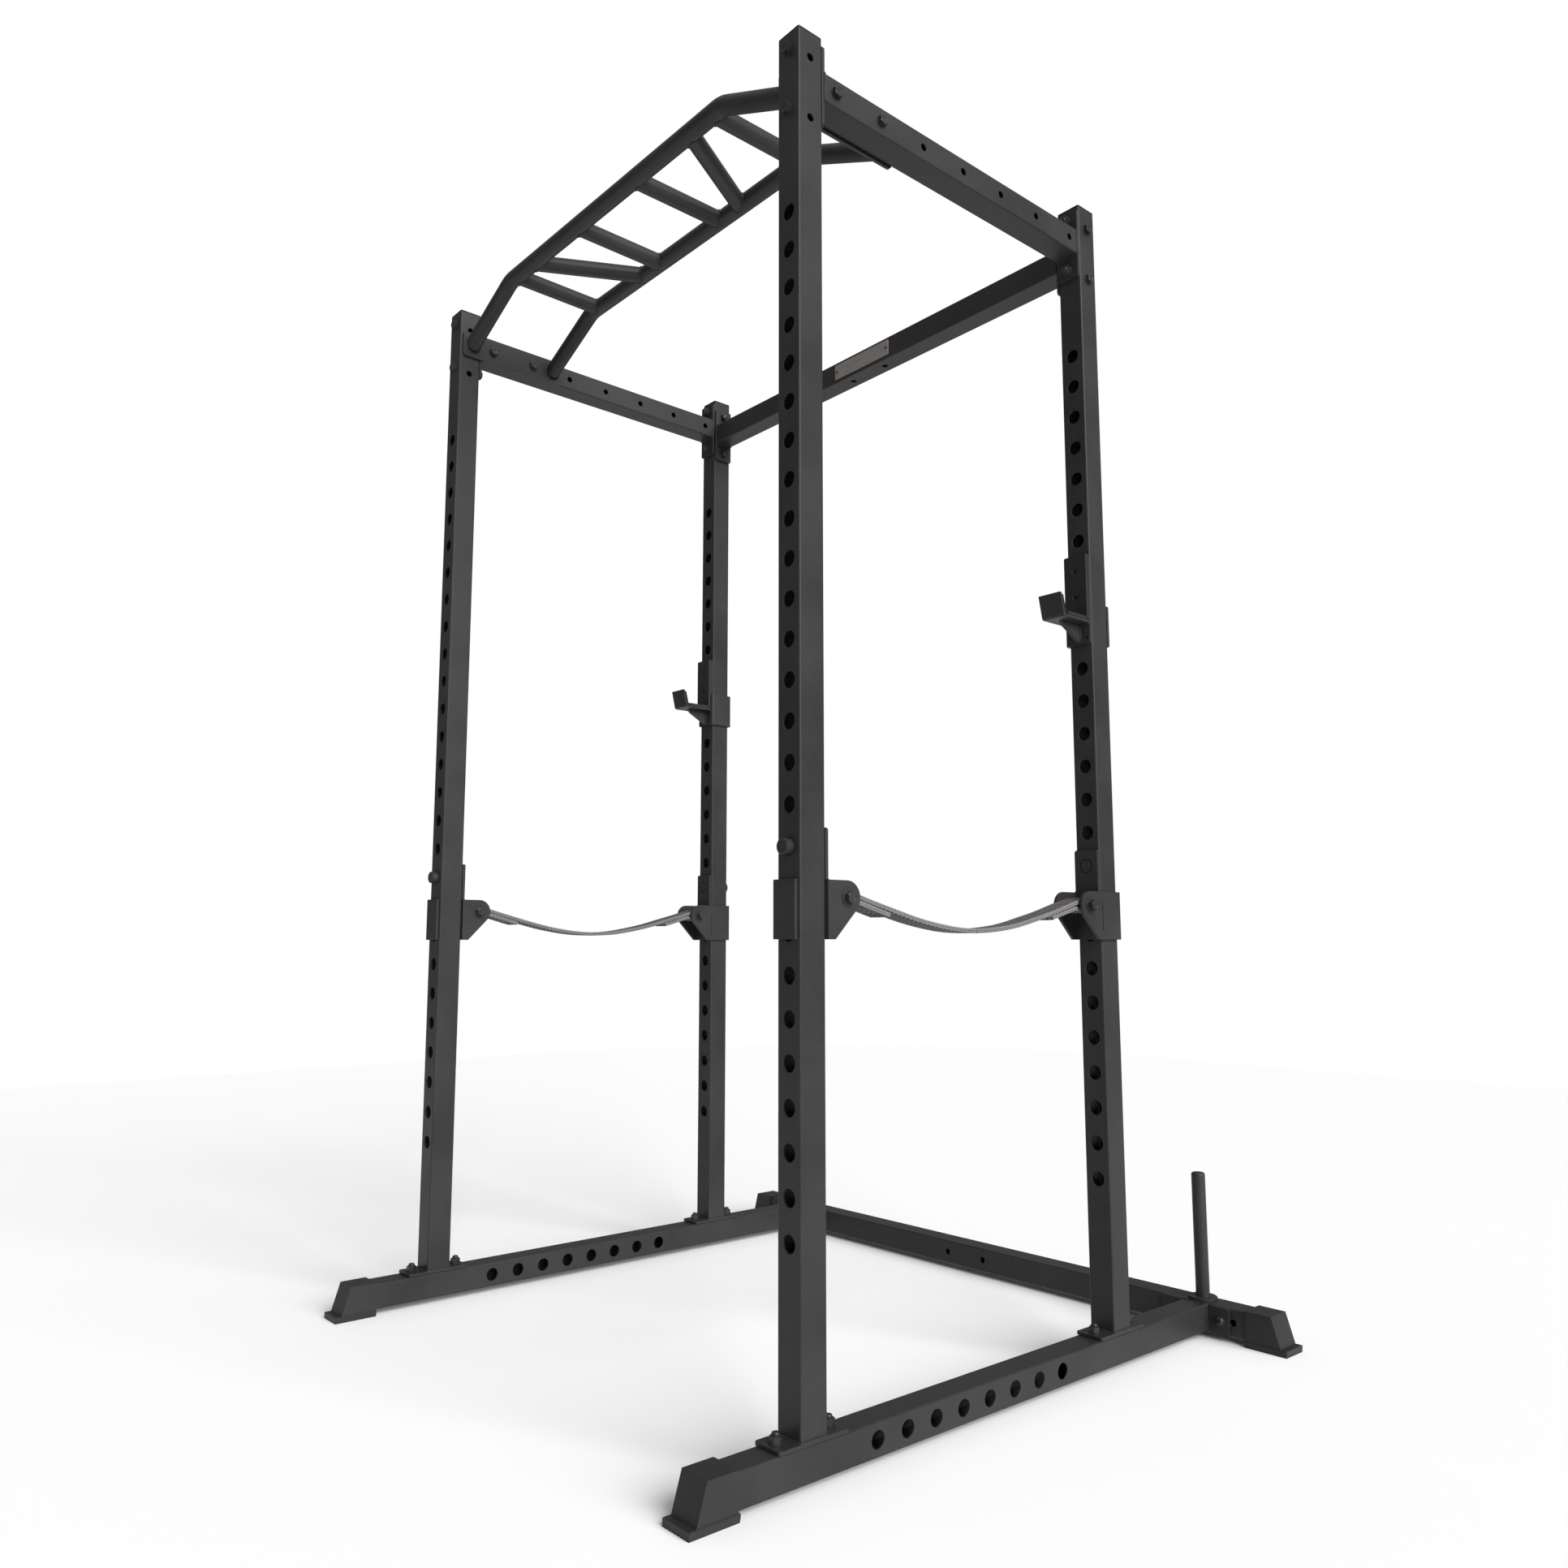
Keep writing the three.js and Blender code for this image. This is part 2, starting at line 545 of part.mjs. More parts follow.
// Base bolts come up through the runner, a low round head below, the nut on the base plate.
function addBaseBolts() {
  const grip = BASE_TOP - RUNNER_BOTTOM;
  const tail = BASE_STUD_TOP - BASE_TOP - GAP - NUT_H;
  for (const side of SIDES) {
    for (const end of ENDS) {
      for (const [place, along] of [['a', -1], ['b', 1]]) {
        const bolt = boltSet(grip, tail, true).rotate([90, 0, 0]).translate([side.sign * POST_X,
          end.sign * POST_Y + along * BASE_STUD_Y, RUNNER_BOTTOM]);
        cage.add(mesh(`base_bolt_${end.name}_${side.name}_${place}`, bolt, zinc()));
      }
    }
  }
}

// ---- J-hooks ----
// Drawn at the right-hand upright: x from the upright's centre, y from its front face
// (forward is negative), z from the pin. The wrap is on the inner side.
function hookFrame() {
  const face = -GAP;
  const out = face - PLATE;
  const wrapX = -HALF - GAP - PLATE;
  const back = box(-HALF, HALF, out, face, -HOOK_BOTTOM, HOOK_TOP);
  const side = box(wrapX, -HALF - GAP, out, TUBE + GAP + PLATE, -HOOK_BOTTOM, -HOOK_WRAP_TOP);
  const corner = box(wrapX, -HALF + 1, out, face, -HOOK_BOTTOM, -HOOK_WRAP_TOP);
  const tab = box(wrapX, HALF, TUBE + GAP, TUBE + GAP + PLATE, -HOOK_BOTTOM, -HOOK_WRAP_TOP);
  const seatZ = -SEAT_TOP - LINER - GAP;
  const underside = seatZ - SEAT_STEEL;
  const lipTop = seatZ + LIP_RISE;
  const seatOutline = [[out + 1, seatZ], [-SEAT_END + LIP_STEEL, seatZ],
    [-SEAT_END + LIP_STEEL - LIP_LEAN, lipTop], [-SEAT_END - LIP_LEAN, lipTop],
    [-SEAT_END, underside], [out + 1, underside]];
  const seat = slabX(seatOutline, -HALF, HALF);
  const gussetOutline = [[out + 1, underside + 1], [-SEAT_END + 20, underside + 1],
    [-SEAT_END + 30, underside - 9], [out + 1, -HOOK_BOTTOM + 2]];
  const gusset = slabX(gussetOutline, -4, 4);
  const pin = rodY(out + 1, HOOK_PIN_REACH, 0, 0, HOOK_PIN_R, 12);
  return join([back, side, corner, tab, seat, gusset, pin]);
}

// Lines the back plate, the cradle and the inside of the lip.
function hookLiner() {
  const out = -GAP - PLATE - GAP;
  const seatZ = -SEAT_TOP - LINER;
  const rise = LIP_RISE - 4;
  const lean = (LIP_LEAN * rise) / LIP_RISE;
  const lip = -SEAT_END + LIP_STEEL + GAP;
  const outline = [[out, HOOK_TOP], [out - LINER, HOOK_TOP], [out - LINER, -SEAT_TOP],
    [lip + LIP_LINER, -SEAT_TOP], [lip + LIP_LINER - lean, seatZ + rise],
    [lip - lean, seatZ + rise], [lip, seatZ], [out, seatZ]];
  return slabX(outline, -HALF, HALF);
}

function addHooks() {
  const place = [POST_X, POST_Y - HALF, HOLE_TOP_Z - J_HOOK_HOLE * HOLE_PITCH];
  addSided('j_hook', hookFrame().translate(place), coat);
  addSided('j_hook_liner', hookLiner().translate(place), plastic);
}

// ---- Strap brackets ----
// Drawn at a front upright: x from the upright's centre, y from its rear face (the strap is
// at positive y), z from the pin. The wrap is at negative x.
function strapBracket() {
  const wide = HALF + GAP + PLATE;
  const out = GAP + PLATE;
  const far = -TUBE - GAP - PLATE;
  const sides = 10;
  const cheekOutline = [[out - 1, -CHEEK_BOTTOM], [out - 1, -CHEEK_TOP]];
  for (let i = 0; i <= sides; i += 1) {
    const turn = Math.PI / 2 - (i / sides) * (Math.PI * 0.75);
    cheekOutline.push([CHEEK_BOLT_OUT + CHEEK_R * Math.cos(turn),
      -CHEEK_BOLT_DOWN + CHEEK_R * Math.sin(turn)]);
  }
  const diagonal = CHEEK_R * Math.SQRT1_2;
  cheekOutline.push([CHEEK_BOLT_OUT + diagonal - (CHEEK_BOTTOM - CHEEK_BOLT_DOWN - diagonal),
    -CHEEK_BOTTOM]);
  const pieces = [
    box(-HALF, HALF, GAP, out, -CHEEK_TOP - 1, TALL_TOP),
    box(-wide, wide, GAP, out, -CHEEK_BOTTOM, -CHEEK_TOP),
    slabX(cheekOutline, -wide, -wide + PLATE),
    slabX(cheekOutline, wide - PLATE, wide),
    box(-wide, -wide + PLATE, far, out, -CHEEK_BOTTOM, -CHEEK_TOP),
    box(-wide, HALF - FAR_TAB_SHORT, far, far + PLATE, -CHEEK_BOTTOM, -CHEEK_TOP),
    rodY(-TUBE - KNOB, GAP + 1, 0, 0, HOOK_PIN_R, 12),
  ];
  const hole = rodX(-wide - 1, wide + 1, CHEEK_BOLT_OUT, -CHEEK_BOLT_DOWN, around(BOLT_HOLE_R), 8);
  return cut(join(pieces), [hole]);
}

// The cross bolt that the strap's loop hangs on, in the bracket's own axes.
function strapBolt() {
  const wide = HALF + GAP + PLATE;
  const y = CHEEK_BOLT_OUT;
  const z = -CHEEK_BOLT_DOWN;
  return join([
    rodX(-wide - GAP - NUT_H - 2, wide + GAP + 1, y, z, BOLT_R, 8),
    rodX(wide + GAP, wide + GAP + HEAD_H, y, z, HEAD_R, 6),
    rodX(-wide - GAP - NUT_H, -wide - GAP, y, z, HEAD_R, 6),
  ]);
}

// ---- Safety straps ----
const BOLT_Y = POST_Y - HALF - CHEEK_BOLT_OUT; // cross bolts, in front of and behind the middle
const PIN_Z = HOLE_TOP_Z - STRAP_HOLE * HOLE_PITCH;
const STRAP_END_Z = PIN_Z - CHEEK_BOLT_DOWN;

// Height of the seam between the two thicknesses of the doubled end.
function strapZ(y) {
  const along = Math.min(Math.abs(y) / BOLT_Y, 1);
  const hang = (1 - STRAP_STIFFNESS) * (1 - along ** 2)
    + STRAP_STIFFNESS * (1 + Math.cos(Math.PI * along)) / 2;
  return STRAP_END_Z + BOLT_R + GAP - STRAP_SAG * hang;
}

// The sagging band between two places along the cage, of the given thickness above and below.
function band(y0, y1, above, below, steps) {
  const upper = [];
  const lower = [];
  for (let i = 0; i <= steps; i += 1) {
    const y = y0 + ((y1 - y0) * i) / steps;
    upper.push([y, strapZ(y) + above]);
    lower.unshift([y, strapZ(y) - below]);
  }
  return slabX([...lower, ...upper], -STRAP_HALF, STRAP_HALF);
}

function strapEnd() {
  const loop = rodX(-STRAP_HALF, STRAP_HALF, -BOLT_Y, STRAP_END_Z, BOLT_R + GAP + PLY, 12);
  const tail = band(-BOLT_Y, -BOLT_Y + STRAP_SPLIT, PLY, PLY, 2);
  const eye = rodX(-STRAP_HALF - 1, STRAP_HALF + 1, -BOLT_Y, STRAP_END_Z, around(BOLT_R + GAP), 8);
  return cut(join([loop, tail]), [eye]);
}

function strapSpan() {
  const start = BOLT_Y - STRAP_SPLIT - GAP;
  const single = BOLT_Y - STRAP_DOUBLE;
  return join([
    band(-single - 1, single + 1, PLY, 0, 14),
    band(-start, -single, PLY, PLY, 3),
    band(single, start, PLY, PLY, 3),
  ]);
}

function addStraps() {
  for (const side of SIDES) {
    for (const end of ENDS) {
      // The bracket at the rear is the front one turned half a turn about the upright.
      const turn = end.sign < 0 ? 0 : 180;
      const place = [side.sign * POST_X, end.sign * (POST_Y - HALF), PIN_Z];
      const name = `${end.name}_${side.name}`;
      cage.add(mesh(`strap_bracket_${name}`, strapBracket().rotate([0, 0, turn]).translate(place), coat()));
      // Heads face right on all four brackets.
      const bolt = end.sign < 0 ? strapBolt() : strapBolt().mirror([0, 1, 0]);
      cage.add(mesh(`strap_bolt_${name}`, bolt.translate(place), zinc()));
      const strap = end.sign < 0 ? strapEnd() : strapEnd().mirror([0, 1, 0]);
      cage.add(mesh(`strap_end_${name}`, strap.translate([side.sign * POST_X, 0, 0]), webbing()));
    }
    cage.add(mesh(`strap_span_${side.name}`, strapSpan().translate([side.sign * POST_X, 0, 0]), webbing()));
  }
}

addUprights();
addBase();
addTop();
cage.add(mesh('pull_up_bar', pullUpBar(), coat()));
addSided('storage_pin', storagePin(), coat);
addTopBolts();
addBaseBolts();
addHooks();
addStraps();

export default cage;
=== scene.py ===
"""Power cage for weight training: the looks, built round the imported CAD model.

Shapes are drawn in millimetres, as the CAD part is: z up from the floor, the front towards -Y
and y = 0 midway between the uprights. piece() scales them to metres and puts them in the frame.
"""

import json
import math
import random

import bmesh
import bpy
from mathutils import Matrix, Vector


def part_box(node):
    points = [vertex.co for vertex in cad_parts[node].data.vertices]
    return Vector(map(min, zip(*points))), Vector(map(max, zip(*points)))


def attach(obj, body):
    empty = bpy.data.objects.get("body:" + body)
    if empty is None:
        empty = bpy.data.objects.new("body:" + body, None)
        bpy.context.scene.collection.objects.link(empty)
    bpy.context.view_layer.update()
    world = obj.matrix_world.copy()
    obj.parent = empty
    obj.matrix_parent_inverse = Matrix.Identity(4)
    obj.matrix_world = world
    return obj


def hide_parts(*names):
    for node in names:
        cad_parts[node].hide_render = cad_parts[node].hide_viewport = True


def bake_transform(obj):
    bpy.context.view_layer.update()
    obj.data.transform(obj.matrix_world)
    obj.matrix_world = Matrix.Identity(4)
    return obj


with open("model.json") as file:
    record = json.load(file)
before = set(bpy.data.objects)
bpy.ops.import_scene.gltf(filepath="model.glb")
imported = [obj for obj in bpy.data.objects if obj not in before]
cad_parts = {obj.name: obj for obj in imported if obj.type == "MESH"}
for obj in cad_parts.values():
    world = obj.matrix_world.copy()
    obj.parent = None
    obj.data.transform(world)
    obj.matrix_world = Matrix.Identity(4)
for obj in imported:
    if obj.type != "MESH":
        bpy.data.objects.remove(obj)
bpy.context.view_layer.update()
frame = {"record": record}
MM = 0.001
TAU = math.tau


def middle(node):
    """The middle of a CAD node's box, in millimetres."""
    low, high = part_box(node)
    return (low + high) / 2 / MM


FRONT_POST, REAR_POST = middle("upright_front_right"), middle("upright_rear_right")
MID_Y = (FRONT_POST.y + REAR_POST.y) / 2
BODY_OF = {
    node: body
    for body, nodes in frame["record"]["behaviour"]["bodies"].items()
    for node in nodes
}
SIDES = {"right": 1, "left": -1}
ENDS = {"front": -1, "rear": 1}

# ---- Driving dimensions, in millimetres ----
HALF = 25  # half of every square tube
WALL = 3
TUBE_CORNER = 3.2
BORE_CORNER = 1.2
PLATE = 6
GAP = 0.3
POST_X = FRONT_POST.x
POST_Y = (REAR_POST.y - FRONT_POST.y) / 2
RUNNER_BOTTOM = 12
RUNNER_TOP = 62
RUNNER_Z = 37
BASE_TOP = 68.3
POST_TOP = 2185
HOLE_R = 13
HOLE_PITCH = 62.2
HOLE_COUNT = 26
HOLE_TOP_Z = 1881.3
HOOK_Z = HOLE_TOP_Z - 7 * HOLE_PITCH
STRAP_PIN_Z = HOLE_TOP_Z - 16 * HOLE_PITCH
BOLT_HOLE_R = 6.6
BOLT_SPREAD = 51.8
BOLT_PAIR = (-BOLT_SPREAD, BOLT_SPREAD)
LEVELS = {"upper": BOLT_SPREAD, "lower": -BOLT_SPREAD}
FLANGE_HALF = 70
RUNNER_FRONT_Y = -546
REAR_BAR_Y = 673
REAR_BAR_HALF = 729
RUNNER_REAR_Y = REAR_BAR_Y - HALF
PEG_HOLE_FIRST_Y = -243
PEG_HOLE_COUNT = 8
BASE_STUD_Y = 49
BEAM_Z = 2107.6
REAR_TOP_Z = 2091.5
BEAM_HOLE_PITCH = 103.6
BEAM_HOLE_COUNT = 7


# ---- Mesh work ----
AXES = {"X": (1, 2, 0), "Y": (0, 2, 1), "Z": (0, 1, 2)}


def lay(axis, u, v, along):
    """A point from its two places across an axis and its place along it."""
    point = [0.0, 0.0, 0.0]
    for index, value in zip(AXES[axis], (u, v, along)):
        point[index] = value
    return Vector(point)


def make(points, faces):
    mesh = bpy.data.meshes.new("work")
    mesh.from_pydata([tuple(p) for p in points], [], faces)
    shape = bmesh.new()
    shape.from_mesh(mesh)
    bmesh.ops.recalc_face_normals(shape, faces=shape.faces)
    shape.to_mesh(mesh)
    shape.free()
    return mesh


def skin(loops, closed=False):
    """A closed mesh through loops of points; closed joins the last loop to the first."""
    count = len(loops[0])
    faces = []
    for i in range(len(loops) if closed else len(loops) - 1):
        near, far = i * count, (i + 1) % len(loops) * count
        for j in range(count):
            k = (j + 1) % count
            faces.append((near + j, near + k, far + k, far + j))
    if not closed:
        faces.append(tuple(range(count)))
        faces.append(tuple(range(len(loops) * count - count, len(loops) * count)))
    return make([point for loop in loops for point in loop], faces)


def circle(radius, sides=40):
    angles = [TAU * i / sides for i in range(sides)]
    return [(radius * math.cos(angle), radius * math.sin(angle)) for angle in angles]


def counterclockwise(outline):
    area = sum(
        a[0] * b[1] - b[0] * a[1] for a, b in zip(outline, outline[1:] + outline[:1])
    )
    return list(outline) if area > 0 else list(reversed(outline))


def rounded(outline, radius, steps=5):
    """An outline with its corners rounded: one radius, or one for each corner."""
    radii = radius if hasattr(radius, "__len__") else [radius] * len(outline)
    points = [Vector(p) for p in outline]
    result = []
    for i, corner in enumerate(points):
        before = (points[i - 1] - corner).normalized()
        after = (points[(i + 1) % len(points)] - corner).normalized()
        if radii[i] <= 0:
            result.append(tuple(corner))
            continue
        half = before.angle(after) / 2
        start = corner + before * radii[i] / math.tan(half)
        end = corner + after * radii[i] / math.tan(half)
        centre = corner + (before + after).normalized() * radii[i] / math.sin(half)
        first, last = start - centre, end - centre
        sweep = first.angle_signed(last)
        for step in range(steps + 1):
            arm = first.copy()
            arm.rotate(Matrix.Rotation(-sweep * step / steps, 2))
            result.append(tuple(centre + arm))
    return result


def square(half_u, half_v, radius, cu=0.0, cv=0.0, steps=5):
    corners = [(-half_u, -half_v), (half_u, -half_v), (half_u, half_v), (-half_u, half_v)]
    return [(u + cu, v + cv) for u, v in rounded(corners, radius, steps)]


def inset(outline, depth):
    """An outline moved inwards by depth."""
    result = []
    for i, point in enumerate(outline):
        here = Vector(point)
        one = (here - Vector(outline[i - 1])).normalized()
        two = (Vector(outline[(i + 1) % len(outline)]) - here).normalized()
        normal_one, normal_two = Vector((-one.y, one.x)), Vector((-two.y, two.x))
        share = 1 + normal_one.dot(normal_two)
        result.append(tuple(here + (normal_one + normal_two) * depth / max(share, 0.3)))
    return result


def prism(outline, axis, start, end, edge=0.7):
    """An outline pushed along an axis, with the edges of both ends rounded."""
    outline = counterclockwise(outline)
    rounds = [
        (edge * (1 - math.sin(t)), edge * (1 - math.cos(t)))
        for t in (0, math.pi / 4, math.pi / 2)
    ]
    levels = [(start + rise, depth) for depth, rise in rounds]
    levels += [(end - rise, depth) for depth, rise in reversed(rounds)]
    return skin(
        [[lay(axis, u, v, along) for u, v in inset(outline, depth)] for along, depth in levels]
    )


def block(x0, x1, y0, y1, z0, z1, corner=1.0, edge=0.7, axis="Z"):
    """A plate or bar whose four edges along an axis have a corner radius."""
    spans = ((x0, x1), (y0, y1), (z0, z1))
    iu, iv, iw = AXES[axis]
    (u0, u1), (v0, v1), (w0, w1) = spans[iu], spans[iv], spans[iw]
    outline = square((u1 - u0) / 2, (v1 - v0) / 2, corner, (u0 + u1) / 2, (v0 + v1) / 2)
    return prism(outline, axis, w0, w1, edge)


def tube(axis, start, end, cu, cv):
    """An open-ended square tube with rounded corners."""
    outer = square(HALF, HALF, TUBE_CORNER, cu, cv)
    bore = square(HALF - WALL, HALF - WALL, BORE_CORNER, cu, cv)
    nose = inset(counterclockwise(outer), 0.4)
    outer, bore = counterclockwise(outer), counterclockwise(bore)
    levels = [
        (outer, start + 0.4), (outer, end - 0.4), (nose, end), (bore, end), (bore, start),
        (nose, start),
    ]
    return skin(
        [[lay(axis, u, v, along) for u, v in outline] for outline, along in levels], closed=True
    )


def turned(profile, axis="Z", cu=0.0, cv=0.0, sides=40):
    """A turned shape, from (radius, place along the axis) pairs."""
    return skin(
        [
            [lay(axis, u + cu, v + cv, along) for u, v in circle(radius, sides)]
            for radius, along in profile
        ]
    )


def rod(axis, start, end, cu, cv, radius, edge=0.8, sides=40):
    profile = [(radius - edge, start), (radius, start + edge), (radius, end - edge),
               (radius - edge, end)]
    return turned(profile, axis, cu, cv, sides)


def bore(axis, start, end, cu, cv, radius, flare=0.6, sides=36):
    """A through hole between two faces, with a small chamfer at each."""
    return turned(
        [
            (radius + flare + 1, start - 1), (radius, start + flare), (radius, end - flare),
            (radius + flare + 1, end + 1),
        ],
        axis, cu, cv, sides,
    )


def bolt_hole(axis, start, end, cu, cv, flare=0.4):
    return bore(axis, start, end, cu, cv, BOLT_HOLE_R, flare)


def merged(meshes):
    """Several meshes as one, without cutting them."""
    shape = bmesh.new()
    for mesh in meshes:
        shape.from_mesh(mesh)
    result = bpy.data.meshes.new("work")
    shape.to_mesh(result)
    shape.free()
    return result


def combine(first, second, how):
    body = bpy.data.objects.new("first", first)
    tool = bpy.data.objects.new("second", second)
    for item in (body, tool):
        bpy.context.scene.collection.objects.link(item)
    change = body.modifiers.new("combine", "BOOLEAN")
    change.operation = how
    change.solver = "MANIFOLD"
    change.object = tool
    graph = bpy.context.evaluated_depsgraph_get()
    result = bpy.data.meshes.new_from_object(body.evaluated_get(graph))
    for item in (body, tool):
        bpy.data.objects.remove(item)
    return result


def join(*meshes):
    result = meshes[0]
    for mesh in meshes[1:]:
        result = combine(result, mesh, "UNION")
    return result


def cut(mesh, *tools):
    """Cuts tools away; a list of tools that don't meet is cut in one go."""
    for tool in tools:
        mesh = combine(mesh, merged(tool) if isinstance(tool, list) else tool, "DIFFERENCE")
    return mesh


def common(first, second):
    return combine(first, second, "INTERSECT")


def moved(mesh, x=0.0, y=0.0, z=0.0, turn=0.0):
    """A copy, turned about the vertical and then moved."""
    result = mesh.copy()
    result.transform(Matrix.Translation((x, y, z)) @ Matrix.Rotation(math.radians(turn), 4, "Z"))
    return result


def mirrored(mesh, axis="X"):
    result = mesh.copy()
    flip = Matrix.Scale(-1, 4, {"X": (1, 0, 0), "Y": (0, 1, 0)}[axis])
    result.transform(flip)
    result.flip_normals()
    return result


def for_side(mesh, right):
    """A copy of a shape drawn for the right, or its mirror image."""
    return mesh.copy() if right > 0 else mirrored(mesh)


def aimed(mesh, direction, place):
    """A copy of a shape drawn along +Z, pointed in a direction from a place."""
    result = mesh.copy()
    spin = Vector((0, 0, 1)).rotation_difference(Vector(direction)).to_matrix().to_4x4()
    result.transform(Matrix.Translation(place) @ spin)
    return result


def frames_along(path, closed=False):
    """Directions across a path at each point, carried along without twist."""
    count = len(path)
    tangents = []
    for i, point in enumerate(path):
        before = path[i - 1] if i or closed else point
        after = path[(i + 1) % count] if i < count - 1 or closed else point
        tangents.append((after - before).normalized())
    side = tangents[0].orthogonal().normalized()
    result = []
    for tangent in tangents:
        side = (side - tangent * side.dot(tangent)).normalized()
        result.append((side, tangent.cross(side)))
    return result


def swept(path, radius, sides=24, closed=False):
    """A round bar along a path; radius is a number or a function of the point's index."""
    loops = []
    for i, (one, two) in enumerate(frames_along(path, closed)):
        size = radius(i) if callable(radius) else radius
        loops.append([path[i] + one * u + two * v for u, v in circle(size, sides)])
    return skin(loops, closed)


def resampled(path, step, closed=False):
    """Points spaced evenly along a polyline."""
    ends = path + path[:1] if closed else path
    lengths = [(b - a).length for a, b in zip(ends, ends[1:])]
    whole = sum(lengths)
    count = max(3, round(whole / step))
    result = []
    i, gone = 0, 0.0
    for k in range(count if closed else count + 1):
        want = whole * k / count
        while i < len(lengths) - 1 and gone + lengths[i] < want:
            gone += lengths[i]
            i += 1
        result.append(ends[i].lerp(ends[i + 1], min(1, (want - gone) / lengths[i])))
    return result


WELD_STEP = 0.9
WELD_RIPPLE = 3.2


def weld(path, size=2.0, closed=False):
    """A weld bead: overlapping ripples along a path."""
    points = resampled(path, WELD_STEP, closed)

    def width(i):
        ripple = abs(math.sin(math.pi * i * WELD_STEP / WELD_RIPPLE))
        return size * (0.78 + 0.22 * ripple)

    return swept(points, width, 8, closed)


def weld_square(axis, along, cu, cv):
    """A bead round a square tube where it meets a plate."""
    outline = square(HALF + 0.3, HALF + 0.3, TUBE_CORNER, cu, cv, 3)
    return weld([lay(axis, u, v, along) for u, v in outline], closed=True)


# ---- Materials ----
class Finish:
    """A material being made: its nodes, its links and its shader's inputs."""

    def __init__(self, name, colour, roughness, metallic=0.0, specular=0.5):
        self.material = bpy.data.materials.new(name)
        self.material.use_nodes = True
        self.material.diffuse_color = (*colour, 1)
        self.nodes = self.material.node_tree.nodes
        self.link = self.material.node_tree.links.new
        self.shader = self.nodes["Principled BSDF"].inputs
        self.shader["Base Color"].default_value = (*colour, 1)
        self.shader["Roughness"].default_value = roughness
        self.shader["Metallic"].default_value = metallic
        self.shader["Specular IOR Level"].default_value = specular

    def node(self, kind, **settings):
        made = self.nodes.new(kind)
        for key, value in settings.items():
            if key in made.inputs:
                made.inputs[key].default_value = value
            else:
                setattr(made, key, value)
        return made

    def noise(self, place, **settings):
        made = self.node("ShaderNodeTexNoise", **settings)
        self.link(place, made.inputs["Vector"])
        return made.outputs["Fac"]

    def maths(self, operation, *values):
        made = self.node("ShaderNodeMath", operation=operation)
        for socket, value in zip(made.inputs, values):
            if isinstance(value, (int, float)):
                socket.default_value = value
            else:
                self.link(value, socket)
        return made.outputs[0]

    def shade(self, value, dark, light, start, end):
        """Its colour follows a value: dark up to start, light from end on."""
        ramp = self.node("ShaderNodeValToRGB")
        for stop, place, colour in zip(ramp.color_ramp.elements, (start, end), (dark, light)):
            stop.position = place
            stop.color = (*colour, 1)
        self.link(value, ramp.inputs["Fac"])
        self.link(ramp.outputs["Color"], self.shader["Base Color"])

    def relief(self, height, strength, distance):
        bump = self.node("ShaderNodeBump", Strength=strength, Distance=distance)
        self.link(height, bump.inputs["Height"])
        self.link(bump.outputs["Normal"], self.shader["Normal"])


GLOSS_SPREAD = 0.06


def coated(name, dark, light, roughness, metallic=0.0, grain=520, depth=0.00018, bump=0.5,
           shine=0.3):
    """A finish that drifts between two shades, with a fine grain in its surface and its gloss."""
    finish = Finish(name, dark, roughness, metallic, shine)
    place = finish.node("ShaderNodeTexCoord").outputs["Object"]
    fine = finish.noise(place, Scale=grain, Detail=3.0, Roughness=0.6)
    broad = finish.noise(place, Scale=7.0, Detail=4.0, Roughness=0.55)
    both = finish.maths("MULTIPLY_ADD", fine, 0.45, finish.maths("MULTIPLY", broad, 0.55))
    finish.shade(both, dark, light, 0.32, 0.68)
    gloss = finish.node("ShaderNodeMapRange", **{
        "From Min": 0.3, "From Max": 0.7, "To Min": roughness - GLOSS_SPREAD,
        "To Max": roughness + GLOSS_SPREAD,
    })
    finish.link(broad, gloss.inputs["Value"])
    finish.link(gloss.outputs["Result"], finish.shader["Roughness"])
    finish.relief(fine, bump, depth)
    return finish.material


def woven(name, dark, light, across=14.7, along=9.5, slope=0.6):
    """Webbing: slanting ribs that follow the strap's UV map, which is laid out in millimetres.

    across is the width of a column of ribs, along their pitch and slope their slant.
    """
    finish = Finish(name, light, 0.86, specular=0.3)
    finish.shader["Sheen Weight"].default_value = 0.06
    finish.shader["Sheen Roughness"].default_value = 0.4
    uv = finish.node("ShaderNodeUVMap", uv_map="cloth").outputs["UV"]
    parts = finish.node("ShaderNodeSeparateXYZ")
    finish.link(uv, parts.inputs[0])
    u, v = parts.outputs["X"], parts.outputs["Y"]
    maths = finish.maths
    # Each column's ribs slant the other way from its neighbour's.
    zigzag = maths("PINGPONG", maths("MULTIPLY", u, 1 / across), 1.0)
    row = maths("MULTIPLY_ADD", v, TAU / along, maths("MULTIPLY", zigzag, slope * TAU))
    rib = maths("MULTIPLY_ADD", maths("SINE", row), 0.5, 0.5)
    cord = maths("ABSOLUTE", maths("SINE", maths("MULTIPLY", u, math.pi / across)))
    weave = maths("MULTIPLY", rib, maths("POWER", cord, 0.4))
    fibres = finish.noise(uv, Scale=0.5, Detail=6.0, Roughness=0.8)
    wear = finish.noise(uv, Scale=0.035, Detail=3.0)
    tone = maths("MULTIPLY_ADD", weave, 0.75, maths("MULTIPLY", fibres, 0.25))
    tone = maths("MULTIPLY_ADD", maths("SUBTRACT", wear, 0.5), 0.35, tone)
    finish.shade(tone, dark, light, 0.3, 0.66)
    finish.relief(maths("MULTIPLY_ADD", fibres, 0.3, weave), 0.8, 0.0006)
    return finish.material


